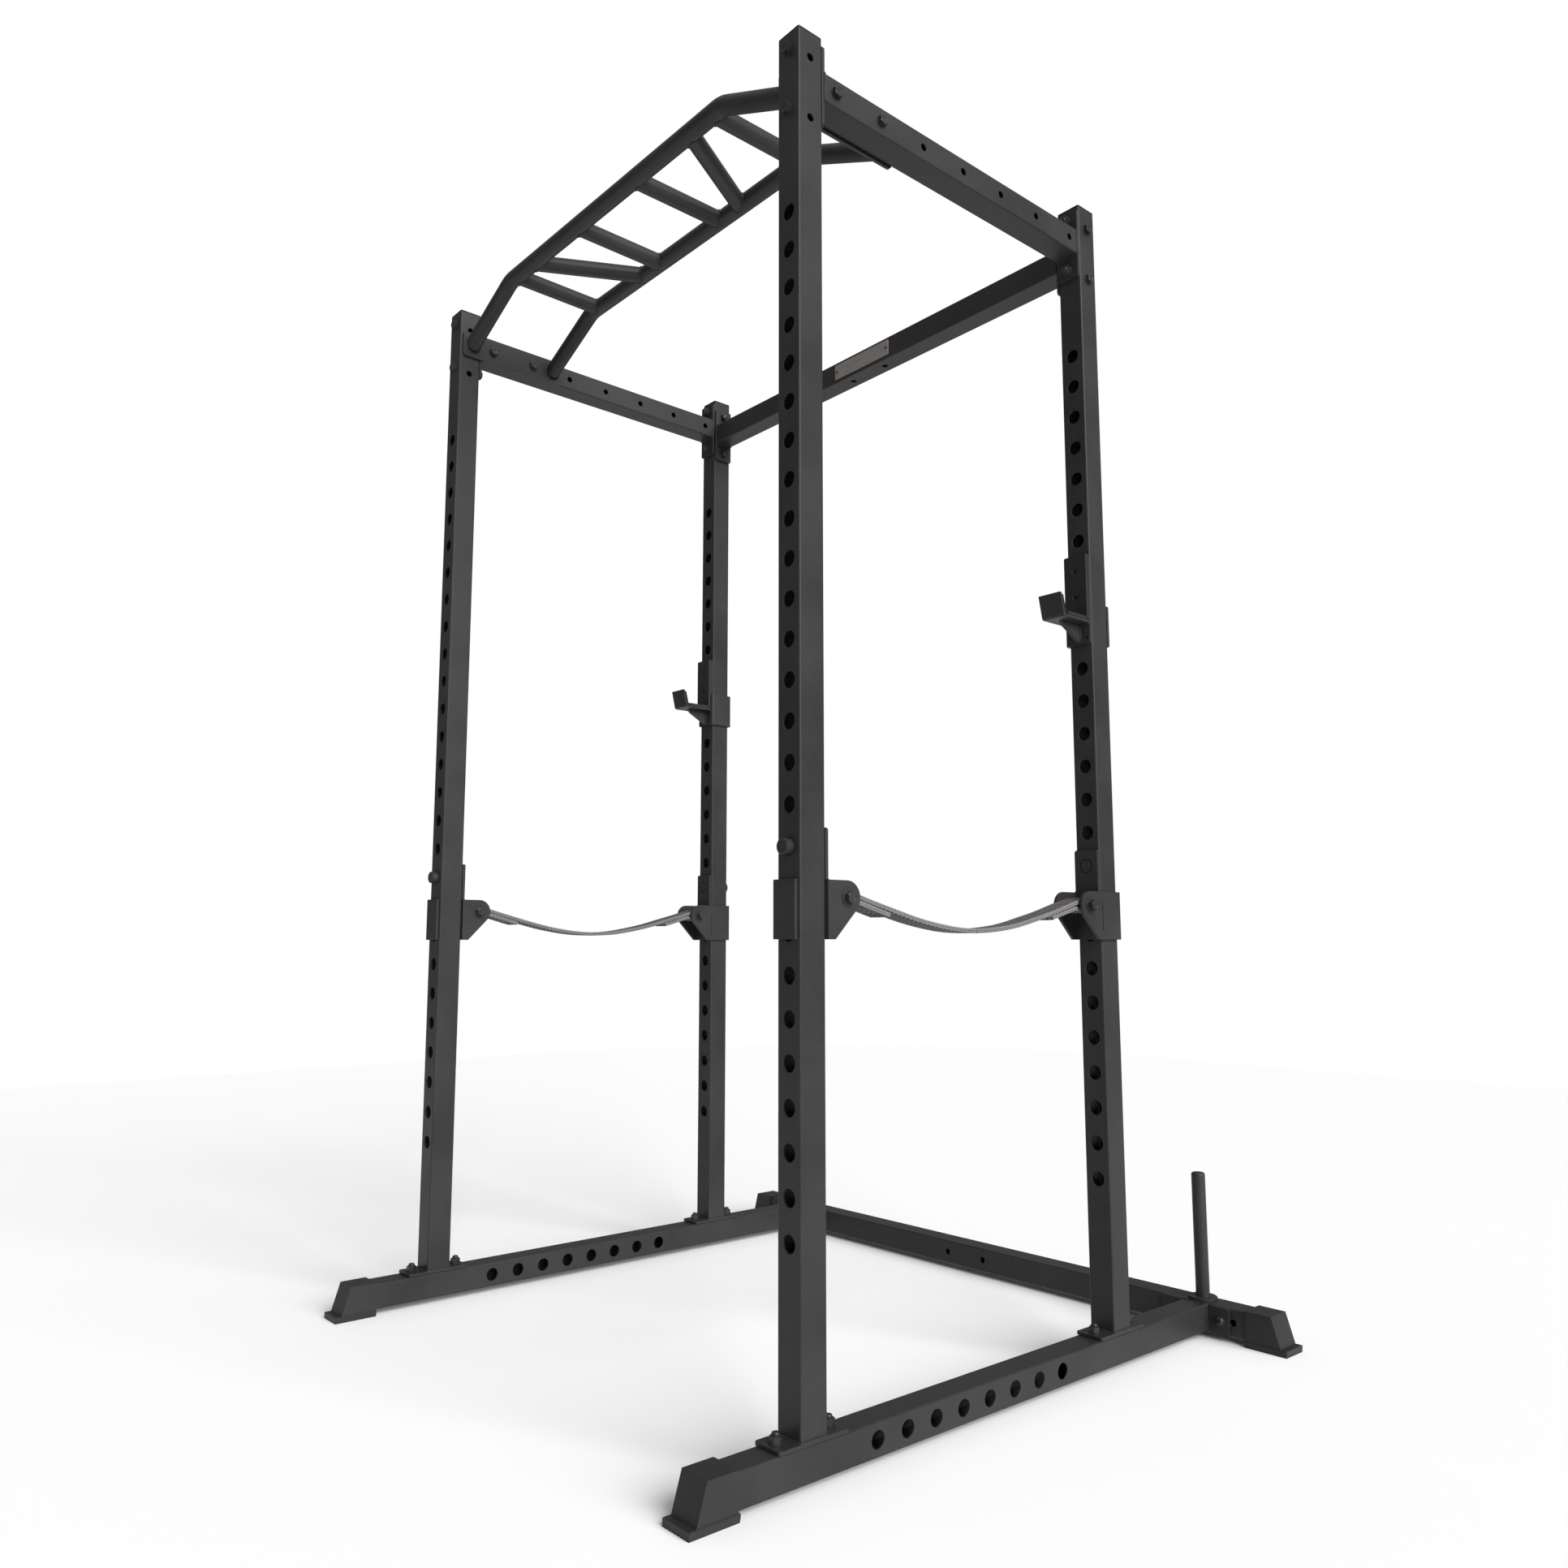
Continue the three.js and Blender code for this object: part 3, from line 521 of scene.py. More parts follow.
def brushed(name, dark, light, roughness):
    """Metal brushed along X."""
    finish = Finish(name, light, roughness, 0.75)
    place = finish.node("ShaderNodeTexCoord").outputs["Object"]
    stretch = finish.node("ShaderNodeMapping", Scale=(18.0, 900.0, 900.0))
    finish.link(place, stretch.inputs["Vector"])
    hair = finish.noise(stretch.outputs["Vector"], Scale=1.0, Detail=4.0, Roughness=0.65)
    finish.shade(hair, dark, light, 0.3, 0.7)
    finish.relief(hair, 0.3, 0.00005)
    return finish.material


# Each finish and the slot that it fills.
POWDER = coated("powder_coat", (0.0168, 0.0164, 0.0166), (0.0313, 0.0309, 0.0313), 0.42,
                shine=0.19), "powder_coat"
ZINC = coated("black_zinc", (0.017, 0.0172, 0.0178), (0.046, 0.0465, 0.048), 0.33, metallic=0.35,
              grain=900, depth=0.00005, bump=0.25), "fastener"
RUBBER = coated("rubber", (0.0165, 0.0161, 0.0159), (0.0245, 0.0241, 0.0238), 0.5, grain=800,
                depth=0.00012, shine=0.24), "rubber"
PLASTIC = coated("plastic", (0.012, 0.012, 0.0121), (0.018, 0.018, 0.0182), 0.45, grain=1100,
                 depth=0.00006, bump=0.3), "plastic"
SCREW = PLASTIC[0], "fastener"
NAME_PLATE = brushed("name_plate", (0.26, 0.235, 0.22), (0.46, 0.42, 0.40), 0.4), "name_plate"
WEB_FACE = woven("webbing_face", (0.006, 0.004, 0.0035), (0.15, 0.13, 0.121)), "webbing"
WEB_EDGE = woven("webbing_edge", (0.08, 0.08, 0.082), (0.24, 0.24, 0.245), across=9.0, along=3.4,
                 slope=0.2)
THREAD = coated("thread", (0.05, 0.047, 0.045), (0.13, 0.124, 0.12), 0.8, grain=2500,
                depth=0.0001), "webbing"

SMOOTH_BELOW = math.radians(32)


def piece(name, mesh, finish, body="root", stands_for=(), sharp=SMOOTH_BELOW):
    """Puts a drawn mesh in the frame as a piece; it rides on a body unless body is None."""
    material, slot = finish
    mesh.transform(Matrix.Scale(MM, 4) @ Matrix.Translation((0, MID_Y, 0)))
    mesh.name = name
    mesh.materials.clear()
    mesh.materials.append(material)
    mesh.shade_smooth()
    mesh.set_sharp_from_angle(angle=sharp)
    thing = bpy.data.objects.new(name, mesh)
    bpy.context.scene.collection.objects.link(thing)
    even = thing.modifiers.new("even_normals", "WEIGHTED_NORMAL")
    even.keep_sharp = True
    if body:
        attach(thing, body)
    if stands_for:
        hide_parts(*stands_for)
    return thing


def stand_in(node, mesh, finish):
    """A piece that stands for one CAD node, on that node's body."""
    piece(f"{node}.looks", mesh, finish, BODY_OF[node], [node])


# ---- Fasteners, drawn along +Z from the face that they clamp ----
FLATS = 17  # across the flats of heads and nuts
CORNER_R = FLATS / 2 / math.cos(math.pi / 6)
WASHER_T = 1.8


def hexagon(height, both_ends):
    """A hexagon with the corners of one or both ends turned off."""
    flat = turned([(CORNER_R, 0), (CORNER_R, height)], sides=6)
    low = (CORNER_R - 1.6, 0) if both_ends else (CORNER_R + 0.2, 0)
    barrel = [low, (CORNER_R + 0.2, 1.0), (CORNER_R + 0.2, height - 1.0), (CORNER_R - 1.6, height)]
    if not both_ends:
        barrel.pop(1)
    return common(flat, turned(barrel, sides=48))


def washer(rim=10.7):
    ring = [(6.5, 0), (rim - 0.3, 0), (rim, 0.3), (rim, WASHER_T - 0.4), (rim - 0.4, WASHER_T),
            (6.5, WASHER_T)]
    return skin([[lay("Z", u, v, z) for u, v in circle(r, 40)] for r, z in ring], closed=True)


def bolt_head(height=6.6, rim=10.7):
    head = moved(hexagon(height, False), z=WASHER_T)
    crown = WASHER_T + height
    dish = turned([(6.6, crown + 0.4), (5.4, crown - 0.6), (0.2, crown - 0.9)][::-1])
    shank = rod("Z", -3, WASHER_T + 2, 0, 0, 6)
    return join(join(cut(head, dish), shank), washer(rim))


def button_head():
    dome = [(8.8, 0), (8.8, 0.8), (7.8, 3), (5.4, 4.6), (0.3, 5.2)]
    head = turned([(radius, z + WASHER_T - 0.2) for radius, z in dome])
    socket = turned([(3.4, WASHER_T + 2), (3.4, WASHER_T + 7)], sides=6)
    shank = rod("Z", -3, WASHER_T + 1, 0, 0, 6)
    return join(join(cut(head, socket), shank), washer())


def carriage_head():
    """A low round head with nothing to turn it by."""
    return turned([(6, -3), (6, -0.2), (10, 0), (10, 0.5), (8.4, 2.1), (5.2, 3.2), (0.3, 3.6)])


def nut_end(reach):
    """A washer, a nut and the domed end of the bolt, reach above the face."""
    stud = turned([(6, -3), (6, reach - 2.6), (5.2, reach - 1.1), (3.2, reach - 0.25),
                   (0.3, reach)])
    thread = [
        turned([(8, z), (5.3, z + 0.55), (8, z + 1.1)], sides=24)
        for z in (WASHER_T + 10.4, WASHER_T + 12.0)
        if z + 1.1 < reach - 2.6
    ]
    nut = moved(hexagon(9.0, True), z=WASHER_T - 0.2)
    return join(nut, cut(stud, *thread), washer())


BOLT_HEAD = bolt_head()
TALL_HEAD = bolt_head(9.4, 12.8)
BUTTON = button_head()
CARRIAGE = carriage_head()
STUD_REACH = 84.5 - BASE_TOP
NUT_SHORT = nut_end(13.0)
NUT_STUD = nut_end(STUD_REACH)


def through_bolt(axis, head_at, nut_at, cu, cv, top=BOLT_HEAD, nut=NUT_SHORT):
    """Head and washer at one face, nut and washer at the other, and the shank between them."""
    way = 1 if nut_at > head_at else -1
    unit = lay(axis, 0, 0, way)
    head = aimed(top, -unit, lay(axis, cu, cv, head_at))
    tail = aimed(nut, unit, lay(axis, cu, cv, nut_at))
    low, high = sorted((head_at, nut_at))
    shank = rod(axis, low - 1, high + 1, cu, cv, 5.9, sides=24)
    return join(head, shank, tail)


# ---- Uprights ----
def adjusting_holes():
    return [
        bore("Y", -HALF, HALF, 0, HOLE_TOP_Z - i * HOLE_PITCH, HOLE_R) for i in range(HOLE_COUNT)
    ]


def upright():
    post = tube("Z", BASE_TOP - PLATE, POST_TOP, 0, 0)
    plate = block(-27, 27, -65, 65, BASE_TOP - PLATE, BASE_TOP, corner=4)
    inner = HALF - WALL
    within = block(-inner, inner, -inner, inner, BASE_TOP - PLATE - 1, BASE_TOP + 1,
                   corner=BORE_CORNER)
    plate = cut(plate, within)
    small = [
        bolt_hole("Z", BASE_TOP - PLATE, BASE_TOP, 0, y, 0.6) for y in (-BASE_STUD_Y, BASE_STUD_Y)
    ]
    small += [bolt_hole("Y", -HALF, HALF, 0, BEAM_Z + up) for up in BOLT_PAIR]
    across = [bolt_hole("X", -HALF, HALF, 0, REAR_TOP_Z + up) for up in BOLT_PAIR]
    body = cut(join(post, plate), adjusting_holes() + small, across)
    return merged([body, weld_square("Z", BASE_TOP, 0, 0)])


def plug():
    lid = block(-HALF, HALF, -HALF, HALF, POST_TOP, POST_TOP + 3.3, corner=TUBE_CORNER, edge=1.2)
    skirt = block(-21.7, 21.7, -21.7, 21.7, POST_TOP - 14, POST_TOP + 1, corner=1)
    return join(lid, skirt)


def add_uprights():
    post, cap = upright(), plug()
    for end, back in ENDS.items():
        for side, right in SIDES.items():
            place = (right * POST_X, back * POST_Y)
            stand_in(f"upright_{end}_{side}", moved(post, *place), POWDER)
            stand_in(f"upright_plug_{end}_{side}", moved(cap, *place), PLASTIC)


# ---- Base ----
def base_runner():
    rail = tube("Y", RUNNER_FRONT_Y, RUNNER_REAR_Y - PLATE, 0, RUNNER_Z)
    flange = block(-FLANGE_HALF, FLANGE_HALF, RUNNER_REAR_Y - PLATE, RUNNER_REAR_Y,
                   RUNNER_BOTTOM + GAP, RUNNER_TOP - GAP, corner=3, axis="Y")
    pegs = [
        bore("X", -HALF, HALF, PEG_HOLE_FIRST_Y + i * HOLE_PITCH, RUNNER_Z, HOLE_R)
        for i in range(PEG_HOLE_COUNT)
    ]
    studs = [
        bolt_hole("Z", RUNNER_BOTTOM, RUNNER_TOP, 0, back * POST_Y + along, 0.6)
        for back in ENDS.values()
        for along in (-BASE_STUD_Y, BASE_STUD_Y)
    ]
    bolts = [
        bolt_hole("Y", RUNNER_REAR_Y - PLATE, RUNNER_REAR_Y, x, RUNNER_Z, 0.6)
        for x in BOLT_PAIR
    ]
    body = cut(join(rail, flange), pegs, studs + bolts)
    return merged([body, weld_square("Y", RUNNER_REAR_Y - PLATE, 0, RUNNER_Z)])


def base_crossbar():
    rail = tube("X", -REAR_BAR_HALF, REAR_BAR_HALF, REAR_BAR_Y, RUNNER_Z)
    front, back = REAR_BAR_Y - HALF, REAR_BAR_Y + HALF
    holes = []
    uprights = []
    for right in SIDES.values():
        for x in (POST_X - BOLT_SPREAD, POST_X + BOLT_SPREAD):
            holes.append(bolt_hole("Y", front, back, right * x, RUNNER_Z))
        for x in (BOLT_SPREAD, POST_X + 75):
            holes.append(bolt_hole("Y", front, REAR_BAR_Y, right * x, RUNNER_Z))
        uprights.append(
            bolt_hole("Z", RUNNER_BOTTOM, RUNNER_TOP, right * POST_X, REAR_BAR_Y)
        )
    return cut(rail, holes, uprights)


FOOT_MOUTH = RUNNER_FRONT_Y + 44
FOOT_NOSE = FOOT_MOUTH - 52
FOOT_SLOPE = 18
RIB_PITCH = 6.4


def foot_cap():
    """A rubber cap on the front end of a runner, its pad ribbed along the runner."""
    side = [(FOOT_MOUTH, 8), (FOOT_MOUTH, 65.3), (FOOT_NOSE, 65.3), (FOOT_NOSE - FOOT_SLOPE, 8)]
    body = prism(side, "X", -28, 28, 1.0)
    tread = [(-30, 10.4), (-28.6, 11.9), (28.6, 11.9), (30, 10.4)]
    ribs = int(60 / RIB_PITCH)
    for i in range(ribs, -ribs - 1, -2):
        x = i * RIB_PITCH / 2
        tread += [(x + 1.9, 0.0), (x - 1.1, 0.0), (x - 2.2, 2.3), (x - RIB_PITCH + 2.6, 2.3)]
    tread = [(x, z) for x, z in tread if abs(x) <= 30]
    pad = prism(tread, "Y", FOOT_NOSE - FOOT_SLOPE - 11, FOOT_MOUTH + 2, 0.5)
    room = block(-25.2, 25.2, RUNNER_FRONT_Y, FOOT_MOUTH + 3, 11.8, RUNNER_TOP + 0.2, corner=3)
    return cut(join(body, pad), room)


COLLAR_R = 27
STORE_R = 13
STORE_TOP = 299


def storage_pin():
    """A collar, a welded pin with a round top, and the stud and nut below."""
    bottom = RUNNER_TOP
    profile = [
        (COLLAR_R - 0.8, bottom), (COLLAR_R, bottom + 0.8), (COLLAR_R, bottom + 3.9),
        (COLLAR_R - 1.1, bottom + 5), (STORE_R + 1.6, bottom + 5), (STORE_R + 0.4, bottom + 5.5),
        (STORE_R, bottom + 6.8), (STORE_R, STORE_TOP - 4.8), (STORE_R - 0.5, STORE_TOP - 2.4),
        (STORE_R - 1.8, STORE_TOP - 0.7), (STORE_R - 3.6, STORE_TOP), (0.3, STORE_TOP),
    ]
    pin = turned(profile, cu=POST_X, cv=REAR_BAR_Y, sides=56)
    nut = aimed(nut_end(8.6), (0, 0, -1), (POST_X, REAR_BAR_Y, RUNNER_BOTTOM))
    stud = rod("Z", RUNNER_BOTTOM - 2, bottom + 2, POST_X, REAR_BAR_Y, 5.9)
    return join(pin, stud, common(nut, block(500, 700, 600, 720, 3.5, 40)))


def add_base():
    runner, cap, pin = base_runner(), foot_cap(), storage_pin()
    rear_cap = moved(moved(cap, turn=90), REAR_BAR_HALF + RUNNER_FRONT_Y, REAR_BAR_Y)
    for side, right in SIDES.items():
        stand_in(f"base_runner_{side}", moved(runner, right * POST_X), POWDER)
        stand_in(f"foot_cap_front_{side}", moved(cap, right * POST_X), RUBBER)
        stand_in(f"foot_cap_rear_{side}", for_side(rear_cap, right), RUBBER)
        stand_in(f"storage_pin_{side}", for_side(pin, right), POWDER)
        for place, x in (("inner", POST_X - BOLT_SPREAD), ("outer", POST_X + BOLT_SPREAD)):
            bolt = through_bolt("Y", RUNNER_REAR_Y - PLATE, REAR_BAR_Y + HALF, right * x, RUNNER_Z,
                                BUTTON)
            piece(f"runner_bolt_{side}_{place}", bolt, ZINC)
        for end, back in ENDS.items():
            for place, along in (("a", -BASE_STUD_Y), ("b", BASE_STUD_Y)):
                stud = through_bolt("Z", RUNNER_BOTTOM, BASE_TOP, right * POST_X,
                                    back * POST_Y + along, CARRIAGE, NUT_STUD)
                stand_in(f"base_bolt_{end}_{side}_{place}", stud, ZINC)
    stand_in("base_crossbar_rear", base_crossbar(), POWDER)


# ---- Top ----
def top_beam():
    end = POST_Y - HALF
    rail = tube("Y", -end + PLATE - 0.5, end - PLATE + 0.5, 0, BEAM_Z)
    front = block(-HALF, HALF, -end, -end + PLATE, BEAM_Z - FLANGE_HALF, BEAM_Z + FLANGE_HALF,
                  corner=5, axis="Y")
    rear = mirrored(front, "Y")
    holes = [
        bolt_hole("X", -HALF, HALF, (i - 3) * BEAM_HOLE_PITCH, BEAM_Z)
        for i in range(BEAM_HOLE_COUNT)
    ]
    for up in BOLT_PAIR:
        holes.append(bolt_hole("Y", -end, -end + PLATE, 0, BEAM_Z + up))
        holes.append(bolt_hole("Y", end - PLATE, end, 0, BEAM_Z + up))
    beads = [weld_square("Y", back * (end - PLATE), 0, BEAM_Z) for back in (-1, 1)]
    return merged([cut(join(rail, front, rear), holes), *beads])


def top_crossbar():
    end = POST_X - HALF
    rail = tube("X", -end + PLATE - 0.5, end - PLATE + 0.5, POST_Y, REAR_TOP_Z)
    right = block(end - PLATE, end, POST_Y - HALF, POST_Y + HALF, REAR_TOP_Z - FLANGE_HALF,
                  REAR_TOP_Z + FLANGE_HALF, corner=5, axis="X")
    left = mirrored(right)
    holes = []
    for x0, x1 in ((-end, -end + PLATE), (end - PLATE, end)):
        for up in BOLT_PAIR:
            holes.append(bolt_hole("X", x0, x1, POST_Y, REAR_TOP_Z + up))
    for x in BOLT_PAIR:
        holes.append(bolt_hole("Z", REAR_TOP_Z - HALF, REAR_TOP_Z, x, POST_Y))
    beads = [weld_square("X", side * (end - PLATE), POST_Y, REAR_TOP_Z) for side in (-1, 1)]
    return merged([cut(join(rail, right, left), holes), *beads])


def name_plate():
    face = POST_Y - HALF
    return block(-88, 88, face - 1.8, face - 0.1, REAR_TOP_Z - 18, REAR_TOP_Z + 18, corner=2.5,
                 edge=0.4, axis="Y")


def rivet():
    dome = [(3.4, 0), (3.4, 0.5), (2.9, 1.1), (1.8, 1.6), (0.2, 1.8)]
    return turned(dome, sides=28)


def add_top():
    beam = top_beam()
    for side, right in SIDES.items():
        stand_in(f"top_beam_{side}", moved(beam, right * POST_X), POWDER)
        for end, back in ENDS.items():
            for level, up in LEVELS.items():
                bolt = through_bolt("Y", back * (POST_Y + HALF), back * (POST_Y - HALF - PLATE),
                                    right * POST_X, BEAM_Z + up)
                stand_in(f"beam_bolt_{end}_{side}_{level}", bolt, ZINC)
        for level, up in LEVELS.items():
            bolt = through_bolt("X", right * (POST_X + HALF), right * (POST_X - HALF - PLATE),
                                POST_Y, REAR_TOP_Z + up)
            stand_in(f"crossbar_bolt_{side}_{level}", bolt, ZINC)
    stand_in("top_crossbar_rear", top_crossbar(), POWDER)
    stand_in("name_plate", name_plate(), NAME_PLATE)
    for side, right in SIDES.items():
        knob = aimed(rivet(), (0, -1, 0), (right * 81, POST_Y - HALF - 1.7, REAR_TOP_Z))
        piece(f"name_plate_rivet_{side}", knob, ZINC)


# ---- Pull-up bar ----
BAR_R = 17
RUNG_R = 16.5
BAR_Y = -2.5 * BEAM_HOLE_PITCH
BAR_Z = 2189.6
BAR_BEND_X = 378
BAR_BEND_R = 70
BAR_PLATE_X = POST_X - HALF
BAR_PLATE_HALF_Y = 127
BAR_PLATE_HALF_Z = 29
RUNGS = [(-351.5, -351.5), (-281.5, -168.5), (-103.6, -103.6),
         (103.6, 103.6), (281.5, 168.5), (351.5, 351.5)]


def bar_path(y):
    end_x = BAR_PLATE_X - PLATE + 1
    profile = [(-end_x, BEAM_Z), (-BAR_BEND_X, BAR_Z), (BAR_BEND_X, BAR_Z), (end_x, BEAM_Z)]
    line = rounded(profile, [0, BAR_BEND_R, BAR_BEND_R, 0], steps=12)
    return [Vector((x, y, z)) for x, z in line]


def rung_bead(front, rear, at_front):
    """A bead where a rung meets a bar, following the line where the two tubes cross."""
    way = 1 if at_front else -1
    y = BAR_Y - way * BEAM_HOLE_PITCH
    start = Vector((front, BAR_Y - BEAM_HOLE_PITCH, BAR_Z))
    along = (Vector((rear, BAR_Y + BEAM_HOLE_PITCH, BAR_Z)) - start).normalized()
    one = Vector((along.y, -along.x, 0))
    base = Vector((front if at_front else rear, y, BAR_Z))
    points = []
    for u, v in circle(RUNG_R + 0.3, 28):
        out = math.sqrt(max(0.0, (BAR_R + 0.3) ** 2 - min(abs(v), BAR_R) ** 2))
        spot = base + one * u + Vector((0, 0, v))
        shift = (y + way * out - spot.y) / along.y
        points.append(spot + along * shift)
    return weld(points, 1.9, closed=True)


def pull_up_bar():
    bars = [swept(bar_path(BAR_Y + s * BEAM_HOLE_PITCH), BAR_R, 32) for s in (-1, 1)]
    rungs, plates, beads = [], [], []
    for front, rear in RUNGS:
        ends = [Vector((front, BAR_Y - BEAM_HOLE_PITCH, BAR_Z)),
                Vector((rear, BAR_Y + BEAM_HOLE_PITCH, BAR_Z))]
        rungs.append(swept(ends, RUNG_R, 32))
        beads += [rung_bead(front, rear, True), rung_bead(front, rear, False)]
    face = BAR_PLATE_X - PLATE
    # A sloping tube meets its plate in an ellipse.
    tilt = 1 / math.cos(math.atan2(BAR_Z - BEAM_Z, face - BAR_BEND_X))
    for right in SIDES.values():
        x0, x1 = sorted((right * BAR_PLATE_X, right * face))
        plates.append(
            block(x0, x1, BAR_Y - BAR_PLATE_HALF_Y, BAR_Y + BAR_PLATE_HALF_Y,
                  BEAM_Z - BAR_PLATE_HALF_Z, BEAM_Z + BAR_PLATE_HALF_Z, corner=8, axis="X")
        )
        for s in (-1, 1):
            ring = [
                Vector((right * face, BAR_Y + s * BEAM_HOLE_PITCH + u, BEAM_Z + v * tilt))
                for u, v in circle(BAR_R + 0.3, 32)
            ]
            beads.append(weld(ring, closed=True))
    return merged([join(*bars, *rungs, *plates), *beads])


def add_pull_up_bar():
    stand_in("pull_up_bar", pull_up_bar(), POWDER)
    for side, right in SIDES.items():
        for place, along in (("front", -0.5), ("rear", 0.5)):
            # Heads face right on both sides.
            outer, inner = right * (POST_X + HALF), right * (BAR_PLATE_X - PLATE)
            head_at, nut_at = (outer, inner) if right > 0 else (inner, outer)
            bolt = through_bolt("X", head_at, nut_at, BAR_Y + along * BEAM_HOLE_PITCH, BEAM_Z)
            piece(f"pull_up_bolt_{side}_{place}", bolt, ZINC)


# ---- J-hooks: x from the upright's centre, y from its front face, z from the pin ----
HOOK_WIDE = 25
HOOK_TOP = 30.5
HOOK_BOTTOM = -141.5
HOOK_WRAP_TOP = -61
SEAT_TOP = -92
SEAT_END = -84
LINER = 6
LIP_LEAN = 10.5
LIP_RISE = 39
SEAT_STEEL = 5.5
LIP_STEEL = 4.5
PIN_R = 12.5
SCREW_LEVELS = (0, -51)


def hook_frame():
    back_outline = [(-HOOK_WIDE, HOOK_BOTTOM), (HOOK_WIDE, HOOK_BOTTOM), (HOOK_WIDE, HOOK_TOP),
                    (-HOOK_WIDE, HOOK_TOP)]
    back = prism(rounded(back_outline, [0.8, 3, 5, 5]), "Y", -PLATE - GAP, -GAP)
    # The wrap is bent from one strip, so its two corners are round in plan.
    outer, inner = -HALF - GAP - PLATE, -HALF - GAP
    near, far = -PLATE - GAP, 2 * HALF + GAP + PLATE
    plan = [(outer, near), (-20, near), (-20, near + PLATE), (inner, near + PLATE),
            (inner, far - PLATE), (HOOK_WIDE, far - PLATE), (HOOK_WIDE, far), (outer, far)]
    wrap = prism(rounded(plan, [6.5, 0, 0, 0.6, 0.6, 0.4, 0.4, 6.5]), "Z", HOOK_BOTTOM,
                 HOOK_WRAP_TOP)
    # The free end behind the upright has round corners.
    tab = [(outer - 2, HOOK_BOTTOM - 1), (HOOK_WIDE, HOOK_BOTTOM), (HOOK_WIDE, HOOK_WRAP_TOP),
           (outer - 2, HOOK_WRAP_TOP + 1)]
    wrap = common(wrap, prism(rounded(tab, [0, 4.5, 4.5, 0]), "Y", near - 5, far + 5))
    seat = SEAT_TOP - LINER - GAP
    under = seat - SEAT_STEEL
    lip_top = seat + LIP_RISE
    cradle = [(-PLATE, seat), (SEAT_END + LIP_STEEL, seat),
              (SEAT_END + LIP_STEEL - LIP_LEAN, lip_top), (SEAT_END - LIP_LEAN, lip_top),
              (SEAT_END, under), (-PLATE, under)]
    cradle = prism(rounded(cradle, [0, 2, 0.8, 0.8, 6, 0]), "X", -HOOK_WIDE, HOOK_WIDE)
    cradle = common(cradle, block(-HOOK_WIDE - 1, HOOK_WIDE + 1, -120, 0, under - 2, lip_top + 0.5,
                                  corner=4.5, axis="Y"))
    gusset = prism([(-PLATE, under + 1), (SEAT_END + 20, under + 1), (SEAT_END + 30, under - 9),
                    (-PLATE, HOOK_BOTTOM + 3)], "X", -4, 4, 0.6)
    pin = rod("Y", -PLATE - GAP + 0.5, 2 * HALF - 2, 0, 0, PIN_R, 1.6)
    # A small round hole low in the plate.
    small = bore("Y", -PLATE - GAP, -GAP, 17, -131, 2.6, 0.3, 20)
    body = cut(join(back, wrap, cradle, gusset, pin), small)
    beads = [weld([Vector((x, -PLATE - GAP - 0.3, under - 0.2)) for x in (-24, 24)])]
    for x in (4.4, -4.4):
        ends = [Vector((x, -PLATE - GAP - 0.2, z)) for z in (under - 1, HOOK_BOTTOM + 5)]
        beads.append(weld(ends, 1.7))
    return merged([body, *beads])


def hook_liner():
    """Three sheets: the back's, the seat's, notched at its corners, and the lip's."""
    out = -2 * GAP - PLATE
    seat = SEAT_TOP - LINER
    rise = LIP_RISE - 4
    lean = LIP_LEAN * rise / LIP_RISE
    lip = SEAT_END + LIP_STEEL + GAP
    back = block(-HOOK_WIDE, HOOK_WIDE, out - LINER, out, seat, HOOK_TOP, corner=3, edge=1.2,
                 axis="Y")
    sinks = [
        turned([(7.8, out - LINER - 1), (7, out - LINER + 0.3), (4, out - LINER + 3.4)], "Y", 0, z)
        for z in SCREW_LEVELS
    ]
    front = [(lip, seat), (lip + 4, seat), (lip + 4 - lean, seat + rise),
             (lip - lean, seat + rise)]
    front = prism(rounded(front, [0.4, 0.4, 1.5, 0.6]), "X", -HOOK_WIDE, HOOK_WIDE, 1.2)
    far, near = lip + 3.6, out - LINER + 0.4
    half, nick = HOOK_WIDE, HOOK_WIDE - 2.6
    plan = [(-nick, far), (nick, far), (nick, far + 3.6), (half, far + 3.6), (half, near - 3.6),
            (nick, near - 3.6), (nick, near), (-nick, near), (-nick, near - 3.6),
            (-half, near - 3.6), (-half, far + 3.6), (-nick, far + 3.6)]
    sheet = prism(plan, "Z", seat, SEAT_TOP, 1.0)
    return merged([cut(back, sinks), front, sheet])


def countersunk_screw():
    """A countersunk socket screw, its top at z = 0."""
    head = turned([(3, -9), (3, -5), (6.4, -0.5), (6.1, 0), (0.3, 0)], sides=36)
    socket = turned([(2.9, -3), (2.9, 1)], sides=6)
    return cut(head, socket)


def add_hooks():
    hook, liner, screw = hook_frame(), hook_liner(), countersunk_screw()
    for side, right in SIDES.items():
        for node, shape, finish in (
            (f"j_hook_{side}", hook, POWDER), (f"j_hook_liner_{side}", liner, PLASTIC),
        ):
            shape = moved(for_side(shape, right), right * POST_X, POST_Y - HALF, HOOK_Z)
            stand_in(node, shape, finish)
        for place, z in zip(("upper", "lower"), SCREW_LEVELS):
            face = POST_Y - HALF - 2 * GAP - PLATE - LINER + 0.4
            made = aimed(screw, (0, -1, 0), (right * POST_X, face, HOOK_Z + z))
            piece(f"j_hook_screw_{side}_{place}", made, SCREW, f"j_hook_{side}")


# ---- Strap brackets: at a front upright, y from its rear face, z from the pin ----
TALL_TOP = 30
CHEEK_TOP = -47.5
CHEEK_BOTTOM = -134.7
BOLT_OUT = 40
BOLT_DOWN = -73.2
CHEEK_R = CHEEK_TOP - BOLT_DOWN
KNOB = 14
BRACKET_WIDE = HALF + GAP + PLATE


